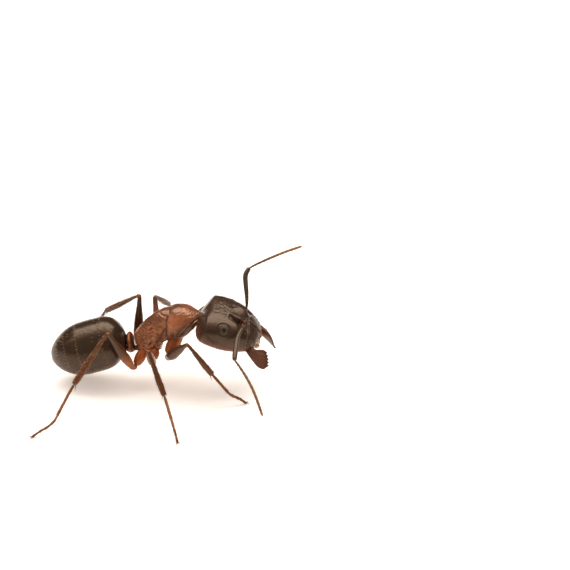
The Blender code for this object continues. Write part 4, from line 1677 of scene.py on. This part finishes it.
@dataclass
class Trunk:
    """The mesosoma, the neck and the waist."""

    form: TrunkForm = field(default_factory=trunk_form)
    stalk_line: Sequence[tuple[float, float, float]] = (
        (0.80, 0, -0.28), (0.40, 0, -0.38), (0, 0, -0.42), (-0.36, 0, -0.40), (-0.72, 0, -0.28)
    )
    stalk_radii: Stations = ((0.0, 0.24), (0.20, 0.20), (0.34, 0.15), (0.52, 0.26), (0.70, 0.15), (1.0, 0.24))

    def build(self, head: HeadForm) -> None:
        """Makes the trunk's skin with the neck, and the petiole.

        Args:
            head: The head that the neck runs to.
        """
        piece = Piece("trunk_skin").add(self.form, 200, 180)
        collar = self.form.put(0.86 * self.form.length, 0.0, 0.40)
        nape = head.put(-1.30, 0.0, 0.0)
        piece.add(Sweep([collar, nape], ((0.0, 0.27), (0.6, 0.25), (1.0, 0.25)), ends=(0.1, 0.1)), 36, 30)
        piece.done(TRUNK_SHELL, Slot.RUSSET, "pronotum", "mesonotum", "propodeum", "neck")
        self.waist()

    def waist(self) -> None:
        """The petiole: a stalk with its upright scale."""
        points = points_of("petiole")
        low, high = box_of("petiole")
        crest = points[np.argmax(points[:, 2])]
        middle = np.array([crest[0], (low[1] + high[1]) / 2, high[2] - 0.64])
        stalk = Sweep([middle + np.array(p) for p in self.stalk_line], self.stalk_radii, ends=(0.1, 0.1))
        piece = Piece("petiole_scale").add(Scale(middle), 96, 72).add(Marked(stalk, tint=0.55), 36, 60)
        piece.done(WAIST_SHELL, Slot.AMBER, "petiole")


@dataclass
class Scale(Surface):
    """The petiole's upright scale: t runs from its foot to its crest."""

    middle: Array
    thickness: float = 0.47
    breadth: float = 1.02
    height: float = 1.28

    def at(self, t: Array, angle: Array) -> Array:
        """Places on the scale, notched at its crest."""
        ring = np.sqrt(np.clip(t * (1 - t), 0, None)) * (1 + 0.5 * bell(t, 0.78, 0.22))
        x = ring * np.cos(angle) * self.thickness * (1.30 - 0.75 * t)
        x = x - 0.16 * (t - 0.5) + 0.05 * (t - 0.5) ** 2
        y = ring * np.sin(angle) * self.breadth * (0.98 - 0.10 * t)
        notch = 0.05 * bell(y, 0.0, 0.14) * step(t, 0.8, 1.0)
        return self.middle + np.stack([x, y, (t - 0.5) * self.height - notch], axis=-1)

    def marks(self, t: Array, angle: Array) -> dict[str, Array]:
        """Darker on its faces and clear amber along its edge."""
        rim = step(np.abs(np.sin(angle)), 0.80, 1.0) + step(t, 0.88, 1.0)
        return {"along": t, "tint": 0.05 + 0.7 * np.clip(rim, 0, 1) + 0.4 * step(-t, -0.3, 0.0)}


class Marked(Surface):
    """A surface whose finish reads the same values all over it."""

    def __init__(self, surface: Surface, **fixed: float) -> None:
        """Wraps a surface.

        Args:
            surface: The surface.
            fixed: The values, by attribute name.
        """
        self.surface, self.fixed = surface, fixed

    def at(self, t: Array, angle: Array) -> Array:
        """The wrapped surface's places."""
        return self.surface.at(t, angle)

    def spaced(self, polar: Array) -> Array:
        """The wrapped surface's rings."""
        return self.surface.spaced(polar)

    def marks(self, t: Array, angle: Array) -> dict[str, Array]:
        """The values, the same everywhere."""
        return {"along": t} | {key: np.full(np.shape(t), value) for key, value in self.fixed.items()}


# ---- gaster
class GasterForm(Form):
    """The whole gaster, front at t = 1."""

    swelling = np.array([1.0, 3.20 / 3.1, 3.02 / 2.94])

    def shaped(self, t: Array, points: Array) -> Array:
        """Its breadth and depth."""
        return points * self.swelling

    def relief(self, t: Array, angle: Array, points: Array) -> Array:
        """Faint transverse waves."""
        return 0.0022 * crumple(points, 0.20, 13, (1.8, 0.8, 0.8))


@dataclass
class Ring(Surface):
    """One plated ring of the gaster, tucked under the ring ahead and flared over the ring behind.

    rear and front are where it shows on the form, and wall is the share of t that each end's wall takes.
    """

    form: GasterForm
    rear: float
    front: float
    last: bool
    first: bool
    tuck: float = 0.035
    flare: float = 0.007
    step_down: float = 0.020
    wall: float = 0.06

    def spot(self, t: Array) -> Array:
        """Where on the form the ring lies; the first and last ring close round the form's poles.

        Args:
            t: Places along the ring.

        Returns:
            Places along the form.
        """
        high = self.front + (0.0 if self.first else self.tuck)
        if self.last:
            return high * (1 - np.cos(np.clip(t / (1 - self.wall), 0, 1) * math.pi / 2))
        if self.first:
            opened = np.sin(np.clip((t - self.wall) / (1 - self.wall), 0, 1) * math.pi / 2)
            return self.rear + (1 - self.rear) * opened
        return self.rear + (high - self.rear) * np.clip((t - self.wall) / (1 - 2 * self.wall), 0, 1)

    def at(self, t: Array, angle: Array) -> Array:
        """Places on the ring: t is 0 at the middle of its rear wall and 1 at its front."""
        spot = self.spot(t)
        points = self.form.own(spot, angle)
        axis = np.stack([points[..., 0], np.zeros_like(t), self.middle(spot)], axis=-1)
        grow = 1 + (0.0 if self.last else self.flare) * bell(spot, self.rear, 0.04)
        grow = grow - self.step_down * step(spot, self.front - 0.004, self.front + 0.008)
        if not self.last:
            grow = grow * np.clip(t / self.wall, 0, 1) ** 0.5
        if not self.first:
            grow = grow * np.clip((1 - t) / self.wall, 0, 1) ** 0.5
        return (axis + (points - axis) * grow[..., None]) @ self.form.spin.T + self.form.place

    def middle(self, spot: Array) -> Array:
        """The height of the axis at each place along."""
        return 0.5 * (eased(self.form.top, spot) - eased(self.form.bottom, spot))

    def spaced(self, polar: Array) -> Array:
        """Even rings."""
        return polar / math.pi

    def marks(self, t: Array, angle: Array) -> dict[str, Array]:
        """A pale thin edge behind, a browner belly that is also painted bounce light from the floor, and
        painted shade on the front where the ring tucks under the one ahead.
        """
        edge = 0.0 if self.last else 0.3 if self.first else 1.0
        rim = edge * step(-t, -0.085, -0.062)
        # the belly's browner tone also stands in for light bounced up from the floor: painted bounce light
        belly = step(-np.sin(angle), -0.1, 1.0)
        # deep: painted shade on the front, where the ring tucks under the ring ahead
        return {"along": t, "tint": 0.10 + 0.65 * belly + 0.20 * bell(t, 0.1, 0.10), "edge": 0.8 * rim,
                "deep": 0.8 * step(t, 0.90, 0.93)}


def gaster_form() -> GasterForm:
    """The gaster, seated on its five solids."""
    form = GasterForm(
        length=4.58,
        rear_round=0.46,
        front_round=0.27,
        width=((0.0, 1.40), (0.35, 1.52), (0.60, 1.55), (1.0, 1.50)),
        top=((0.0, 1.28), (0.35, 1.47), (0.62, 1.53), (1.0, 1.52)),
        bottom=((0.0, 1.32), (0.30, 1.47), (0.62, 1.44), (1.0, 1.08)),
        spin=turned(pitch=-15.9),
    )
    form.seat(*(f"gaster_ring_{i}" for i in range(1, 6)), shift=(-0.02, 0.0, 0.045))
    return form


@dataclass
class Gaster:
    """The abdomen's five visible rings."""

    form: GasterForm = field(default_factory=gaster_form)
    plates: tuple[float, ...] = (0.27, 0.59, 0.76, 0.88)

    def build(self) -> None:
        """Makes the rings, front to rear."""
        for i, (start, end) in enumerate(zip((0.0, *self.plates), (*self.plates, 1.0))):
            ring = Ring(self.form, 1 - end, 1 - start, last=end == 1.0, first=start == 0.0)
            piece = Piece(f"gaster_plate_{i + 1}").add(ring, 200, 110)
            piece.done(GASTER_SHELL, Slot.BLACK, f"gaster_ring_{i + 1}")


# ---- legs
@dataclass(frozen=True)
class LegSizes:
    """What differs between the pairs of legs, in millimetres, or in shares where it says so.

    The hip's root goes on into the trunk by a share of the hip's length, further in and further back. Its
    radius there is a share of the hip's own. thigh_lift arches the thigh and thigh_drop lowers its upper end.
    """

    hip_share: float
    hip_inset: float
    hip_setback: float
    hip_radius: float
    root_share: float
    thigh_radius: float
    thigh_lift: float
    thigh_drop: float
    shin_share: float


LEG_SIZES = {
    Pair.FORE: LegSizes(0.35, 0.05, 0.0, 0.40, 0.75, 0.36, thigh_lift=0.09, thigh_drop=0.0, shin_share=1.05),
    Pair.MID: LegSizes(0.05, 0.34, 0.16, 0.29, 0.40, 0.26, thigh_lift=0.0, thigh_drop=0.0, shin_share=1.0),
    Pair.HIND: LegSizes(0.35, 0.05, 0.0, 0.32, 0.70, 0.315, thigh_lift=0.0, thigh_drop=0.08, shin_share=1.12),
}


@dataclass
class Leg:
    """One leg: hip, thigh, shin and foot, along its solids' middle lines."""

    side: Side
    pair: Pair
    shin_radius: float = 0.110
    foot_radius: float = 0.066
    foot_cuts: tuple[float, ...] = (0.15, 0.3, 0.45, 0.6, 0.72, 0.84)
    toe_height: float = 0.075
    joint_ends: tuple[float, ...] = (0.52, 0.68, 0.79, 0.87, 1.0)
    skins: dict[str, Surface] = field(default_factory=dict)

    @property
    def sizes(self) -> LegSizes:
        """The sizes of its pair."""
        return LEG_SIZES[self.pair]

    @property
    def words(self) -> str:
        """Its side and pair, as in node names."""
        return f"{self.side.word}_{self.pair.value}"

    def build(self) -> None:
        """Makes the leg's four pieces."""
        coxa, femur, tibia, tarsus = (f"{s}_{self.words}" for s in ("coxa", "femur", "tibia", "tarsus"))
        hip = joint_of(coxa, femur) - upright(self.sizes.thigh_drop)
        knee = joint_of(femur, tibia)
        ankle = joint_of(tibia, tarsus)
        self.coxa(coxa, hip)
        self.femur(femur, hip, knee)
        self.tibia(tibia, knee, ankle)
        self.tarsus(tarsus, ankle)

    def coxa(self, node: str, hip: Array) -> None:
        """The stout cone that joins the trunk.

        Args:
            node: Its CAD node.
            hip: Where the thigh joins it.
        """
        sizes = self.sizes
        start = far_end_of(points_of(node), hip, 0.6)
        start = start + (start - hip) * sizes.hip_share
        start[1] -= self.side.value * sizes.hip_inset
        start[0] -= sizes.hip_setback
        wide, root = sizes.hip_radius, sizes.root_share * sizes.hip_radius
        radii = ((0.0, root), (0.30, 0.5 * (root + wide)), (0.58, wide), (0.84, 0.80 * wide), (1.0, 0.17))
        cone = Sweep([start, hip], radii, ends=(0.15, 0.12))
        Piece(f"{node}_shell").add(Marked(cone, tint=0.55), 40, 48).done(HIP_SHELL, Slot.AMBER, node)

    def femur(self, node: str, hip: Array, knee: Array) -> None:
        """The trochanter and the thigh.

        Args:
            node: Their CAD node.
            hip: Its upper joint.
            knee: Its lower joint.
        """
        way = unit(section_of(node, hip + (knee - hip) * 0.6, unit(knee - hip)) - knee)
        root = knee + way * float((hip - knee) @ way)
        stout, lift = self.sizes.thigh_radius, upright(self.sizes.thigh_lift)
        thigh = Sweep(
            [root + (root - knee) * 0.015 + lift * 0.5, knee + (root - knee) * 0.5 + lift, knee - way * 0.05],
            ((0.0, 0.13), (0.09, 0.20), (0.30, stout), (0.56, 0.84 * stout), (0.84, 0.150), (0.93, 0.135),
             (1.0, 0.11)),
            0.88,
            ends=(0.04, 0.035),
        )
        knob = Sweep([hip - (root - hip) * 0.35, (hip + root) / 2, root + (knee - root) * 0.06],
                     ((0.0, 0.12), (0.5, 0.165), (1.0, 0.14)), ends=(0.3, 0.3))
        self.skins["femur"] = thigh
        piece = Piece(f"{node}_thigh").add(thigh, 32, 90).add(Marked(knob, along=0.0), 28, 28)
        piece.done(FEMUR_SHELLS[self.pair], Slot.LIMB, node)

    def tibia(self, node: str, knee: Array, ankle: Array) -> None:
        """The shin with its pair of spurs.

        Args:
            node: Its CAD node.
            knee: Its upper joint.
            ankle: Its lower joint.
        """
        r = self.shin_radius * self.sizes.shin_share
        way = unit(ankle - knee)
        shin = Sweep(
            [knee - way * 0.03, knee + (ankle - knee) * 0.1 + upright(0.02), (knee + ankle) / 2, ankle],
            ((0.0, 0.095), (0.04, 0.110), (0.10, 0.088), (0.35, r * 1.1), (0.76, r * 1.55), (0.94, r * 1.42),
             (1.0, r)),
            0.86,
            ends=(0.03, 0.03),
        )
        self.skins["tibia"] = shin
        piece = Piece(f"{node}_shin").add(shin, 28, 100)
        down = unit(way * way[2] - upright(1.0))
        base = ankle - way * 0.10 + down * r * 0.9
        for swing in (-0.35, 0.35):
            tip = base + way * 0.34 + down * 0.12 + np.cross(way, down) * swing * 0.4
            spur = [base, (base + tip) / 2 + down * 0.015, tip]
            piece.add(Sweep(spur, ((0.0, 0.028), (1.0, 0.006))), 8, 14)
        piece.done(TIBIA_SHELL, Slot.LIMB, node)

    def tarsus(self, node: str, ankle: Array) -> None:
        """The foot: five segments, and two claws with the pad between them.

        Args:
            node: Its CAD node.
            ankle: Its upper joint.
        """
        line = self.foot_line(node, ankle)
        sole = Sweep(line, ((0.0, 0.085), (0.05, 0.078), (0.5, self.foot_radius), (1.0, 0.058)),
                     relief=self.joints, ends=(0.02, 0.02))
        self.skins["tarsus"] = sole
        piece = Piece(f"{node}_foot").add(sole, 18, 200)
        tip = line[-1]
        ahead = unit(unit(tip - line[-2]) * np.array([1, 1, 0.0]))
        aside = np.cross(upright(1.0), ahead)
        for swing in (-1, 1):
            way = unit(ahead + aside * swing * 0.75)
            claw = [tip - ahead * 0.03, tip + way * 0.10 + upright(0.03), tip + way * 0.20, tip + way * 0.24]
            claw[2][2], claw[3][2] = 0.055, 0.008
            piece.add(Sweep(claw, ((0.0, 0.030), (0.6, 0.022), (1.0, 0.004))), 8, 24)
        pad = [tip - ahead * 0.02, tip + ahead * 0.05]
        pad[1][2] = 0.042
        piece.add(Sweep(pad, ((0.0, 0.036), (1.0, 0.040)), ends=(0.4, 0.4)), 12, 12)
        for vert in piece.bm.verts:
            vert.co.z = max(vert.co.z, 0.0)
        piece.done(TARSUS_SHELL, Slot.LIMB, node)

    def foot_line(self, node: str, ankle: Array) -> list[Array]:
        """The foot's middle line.

        Args:
            node: The foot's CAD node.
            ankle: Its upper joint.

        Returns:
            Points from the ankle to the claws.
        """
        core = core_of(node, ankle, far_end_of(points_of(node), ankle, 0.985), self.foot_cuts)
        toe = core[-2] + (core[-2] - core[-3]) * 0.95
        toe[2] = self.toe_height
        return [ankle, *core[1:-1], toe]

    def joints(self, t: Array, angle: Array) -> Array:
        """The flare at the end of each foot segment."""
        total = np.zeros(np.shape(t))
        for a, b in zip((0.0, *self.joint_ends), self.joint_ends):
            share = np.clip((t - a) / (b - a), 0, 1)
            flare = 0.28 * share**1.5 - 0.16 * (1 - step(share, 0, 0.2))
            total = np.where((t >= a) & (t < b), flare, total)
        return total


# ---- coat
class Coat:
    """Every bristle and fine hair on the ant, a piece for each region."""

    UNDER = (-0.8 * math.pi, -0.2 * math.pi)
    BELLY = (-0.9 * math.pi, -0.1 * math.pi)
    BROW = (0.25 * math.pi, 0.75 * math.pi)
    SHIN_ROWS = (-0.62 * math.pi, -0.38 * math.pi)

    def down(
        self, name: str, skin: Surface, count: int, length: float, slot: Slot, backwards: bool = True
    ) -> None:
        """Fine dark hair that lies along a skin all over.

        Args:
            name: The piece's name.
            skin: What it grows on.
            count: How many hairs, which is also the seed of their random draw.
            length: Their length, in millimetres.
            slot: The record's slot.
            backwards: True if they lean to the rear.
        """
        coat = Bristles(name, count)
        coat.scatter(skin, count, (0.03, 0.97), ALL_ROUND, length, 0.0028, 0.95, backwards=backwards)
        coat.done(DOWN, slot)

    def head(self, skin: HeadForm) -> None:
        """Fine hair over the head, with a few upright bristles on the crown, the clypeus and beneath.

        Args:
            skin: The head's surface.
        """
        self.down("head_down", skin, 1500, 0.055, Slot.BLACK, backwards=False)
        face = Bristles("face_down", 12)
        face.scatter(skin, 1700, (0.84, 0.99), ALL_ROUND, 0.060, 0.0030, 0.95)
        face.done(DOWN, Slot.BLACK)
        coat = Bristles("head_bristles", 3)
        coat.scatter(skin, 22, (0.15, 0.75), ON_TOP, 0.20, 0.008, 0.3)
        coat.scatter(skin, 16, (0.90, 0.965), self.BROW, 0.14, 0.005, 0.80)
        coat.scatter(skin, 26, (0.25, 0.9), self.UNDER, 0.13, 0.006, 0.4)
        coat.done(PALE_BRISTLE, Slot.BLACK)

    def trunk(self, skin: TrunkForm) -> None:
        """Sparse hair on the trunk.

        Args:
            skin: The trunk's surface.
        """
        self.down("trunk_down", skin, 1800, 0.085, Slot.RUSSET)
        coat = Bristles("trunk_bristles", 4)
        coat.scatter(skin, 9, (0.72, 0.92), ON_TOP, 0.17, 0.007, 0.35, backwards=True)
        coat.scatter(skin, 12, (0.05, 0.30), ON_TOP, 0.20, 0.007, 0.3, backwards=True)
        coat.done(PALE_BRISTLE, Slot.RUSSET)

    def gaster(self, gaster: Gaster) -> None:
        """A row of bristles before each ring's edge, scattered ones between, and fine hair lying back.

        Args:
            gaster: The gaster with its plates.
        """
        skin, row = gaster.form, 34
        self.down("gaster_down", skin, 6500, 0.12, Slot.BLACK)
        coat = Bristles("gaster_bristles", 5)
        for plate in gaster.plates:
            angle = np.linspace(-0.25 * math.pi, 1.25 * math.pi, row) + coat.random.normal(0, 0.04, row)
            t = 1 - plate + 0.016 + coat.random.uniform(0, 0.01, row)
            coat.grow(skin, t, angle, 0.24, 0.0085, 0.45, backwards=True)
        coat.scatter(skin, 44, (0.08, 0.92), ON_TOP, 0.24, 0.008, 0.4, backwards=True)
        coat.scatter(skin, 70, (0.05, 0.8), self.BELLY, 0.20, 0.007, 0.5, backwards=True)
        coat.scatter(skin, 26, (0.01, 0.06), ALL_ROUND, 0.24, 0.008, 0.5, backwards=True)
        coat.done(PALE_BRISTLE, Slot.BLACK)

    def feelers(self, skins: dict[str, Surface]) -> None:
        """Short down on the feelers.

        Args:
            skins: The feelers' surfaces by node name.
        """
        coat = Bristles("feeler_down", 6)
        for i, (name, skin) in enumerate(skins.items()):
            count, patch = 420 if "scape" in name else 900, strip(i, 0.245, 0.22)
            coat.scatter(skin, count, (0.05, 0.98), ALL_ROUND, 0.045, 0.0028, 0.75, patch=patch)
        coat.done(PALE_BRISTLE, Slot.FEELER)

    def leg(self, leg: Leg) -> None:
        """Down on the thigh, rows of spines on the shin, and dense bristles on the foot.

        Args:
            leg: The leg, once it is built.
        """
        thigh, shin, foot = (leg.skins[name] for name in ("femur", "tibia", "tarsus"))
        high, middle, low = (strip(i, 0.33, 0.30) for i in range(3))
        coat = Bristles(f"leg_bristles_{leg.words}", 7)
        coat.scatter(thigh, 1300, (0.05, 0.97), ALL_ROUND, 0.08, 0.0030, 0.95, patch=high)
        coat.scatter(thigh, 14, (0.1, 0.9), ALL_ROUND, 0.12, 0.006, 0.5, patch=high)
        coat.scatter(shin, 700, (0.06, 0.98), ALL_ROUND, 0.085, 0.0042, 0.72, patch=middle)
        spines = Bristles(f"shin_spines_{leg.words}", 17)
        spines.scatter(shin, 380, (0.06, 0.98), ALL_ROUND, 0.12, 0.0092, 0.52)
        for row in self.SHIN_ROWS:
            t = np.linspace(0.30, 0.97, 15) + spines.random.uniform(-0.01, 0.01, 15)
            spines.grow(shin, t, np.full(15, row), 0.13, 0.009, 0.68)
        spines.done(PALE_BRISTLE if leg.pair is Pair.HIND else DARK_BRISTLE, Slot.LIMB)
        coat.scatter(foot, 900, (0.02, 0.97), ALL_ROUND, 0.070, 0.0038, 0.78, patch=low)
        coat.scatter(foot, 110, (0.03, 0.97), ALL_ROUND, 0.10, 0.0060, 0.66, patch=low)
        for end in leg.joint_ends:
            angle = np.linspace(-0.85 * math.pi, -0.15 * math.pi, 6)
            coat.grow(foot, np.full(6, end - 0.012), angle, 0.10, 0.008, 0.72, patch=low)
        coat.done(DARK_BRISTLE, Slot.LIMB)


# ---- studio
@dataclass
class Studio:
    """The camera, the soft light and the pale floor, in millimetres, degrees and watts."""

    elevation: float = 28.0
    azimuth: float = 1.0
    distance: float = 130.0
    view_width: float = 32.57
    aim: tuple[float, float, float] = (6.578, 0.325, 6.383)
    floor_size: float = 1600.0
    lamp_heading: tuple[float, float] = (90.0, 68.0)
    lamp_distance: float = 240.0
    lamp_size: tuple[float, float] = (360.0, 156.0)
    lamp_power: float = 0.95
    tent_strength: float = 2.2
    front_strength: float = 0.16
    room_strength: float = 0.05
    warm: Colour = (1.0, 0.92, 0.84)

    def build(self) -> None:
        """Sets the scene."""
        self.camera()
        self.floor()
        self.lamp()
        self.tent()
        bpy.context.scene.view_settings.view_transform = "Standard"

    def outward(self) -> Array:
        """The way from the ant to the camera."""
        return heading(self.azimuth - 90.0, self.elevation)

    def camera(self) -> None:
        """A long lens at the side, looking down a little."""
        data = bpy.data.cameras.new("camera")
        data.angle = 2 * math.atan(self.view_width / 2 / self.distance)
        data.clip_start, data.clip_end = 0.005, 10.0
        camera = linked("camera", data)
        way = Vector(self.outward())
        camera.location = (Vector(self.aim) + way * self.distance) * MM
        camera.rotation_euler = (-way).to_track_quat("-Z", "Y").to_euler()
        bpy.context.scene.camera = camera

    def floor(self) -> None:
        """The paper the ant stands on."""
        bm = bmesh.new()
        bmesh.ops.create_grid(bm, x_segments=8, y_segments=8, size=self.floor_size / 2 * MM)
        mesh = bpy.data.meshes.new("floor")
        bm.to_mesh(mesh)
        bm.free()
        mesh.materials.append(Paper("floor paper").material())
        floor = linked("floor", mesh)

    def lamp(self) -> None:
        """A wide soft box above and behind that faces the ant."""
        name = "soft box above and behind"
        data = bpy.data.lights.new(name, "AREA")
        data.shape, data.energy, data.color = "RECTANGLE", self.lamp_power, self.warm
        data.size, data.size_y = (side * MM for side in self.lamp_size)
        lamp, way = linked(name, data), Vector(heading(*self.lamp_heading))
        lamp.location = way * self.lamp_distance * MM
        lamp.rotation_euler = way.to_track_quat("Z", "Y").to_euler()

    def tent(self) -> None:
        """A light tent: bright overhead, fading towards the lens, dark at the horizon and behind."""
        world = bpy.data.worlds.new("light tent")
        tree = Tree(world, "Background")
        way = tree.wire("ShaderNodeTexCoord", {}, {}, "Generated")
        parts = tree.node("ShaderNodeSeparateXYZ", {}, {"Vector": way})
        x, y, z = (Wire(tree, parts.outputs[i]) for i in range(3))
        turn = tree.wire("ShaderNodeMath", {"operation": "ARCTAN2"}, {0: z, 1: 0 - y}) * (180 / math.pi)
        side = (1 - x.between(0.66, 0.86)) * (1 - (0 - x).between(0.80, 0.97))
        roof = turn.between(56.0, 95.0) ** 1.8 * (1 - turn.between(92.0, 98.0))
        front = self.front_strength * turn.between(6.0, 14.0) * (1 - turn.between(56.0, 80.0))
        inputs = {0: way, 1: self.outward()}
        lens = tree.wire("ShaderNodeVectorMath", {"operation": "DOT_PRODUCT"}, inputs, "Value")
        glow = (roof + front) * side * (1 - lens.between(0.950, 0.975)) * self.tent_strength
        tree.dress({"Color": (*self.warm, 1.0), "Strength": glow + self.room_strength})
        bpy.context.scene.world = world


def main() -> None:
    """Builds the ant and its studio."""
    head, trunk, gaster, coat = Head(), Trunk(), Gaster(), Coat()
    head.build()
    trunk.build(head.form)
    gaster.build()
    coat.head(head.form)
    coat.trunk(trunk.form)
    coat.gaster(gaster)
    coat.feelers(head.skins)
    for side in Side:
        for pair in Pair:
            leg = Leg(side, pair)
            leg.build()
            coat.leg(leg)
    Studio().build()


if __name__ == "__main__":
    main()
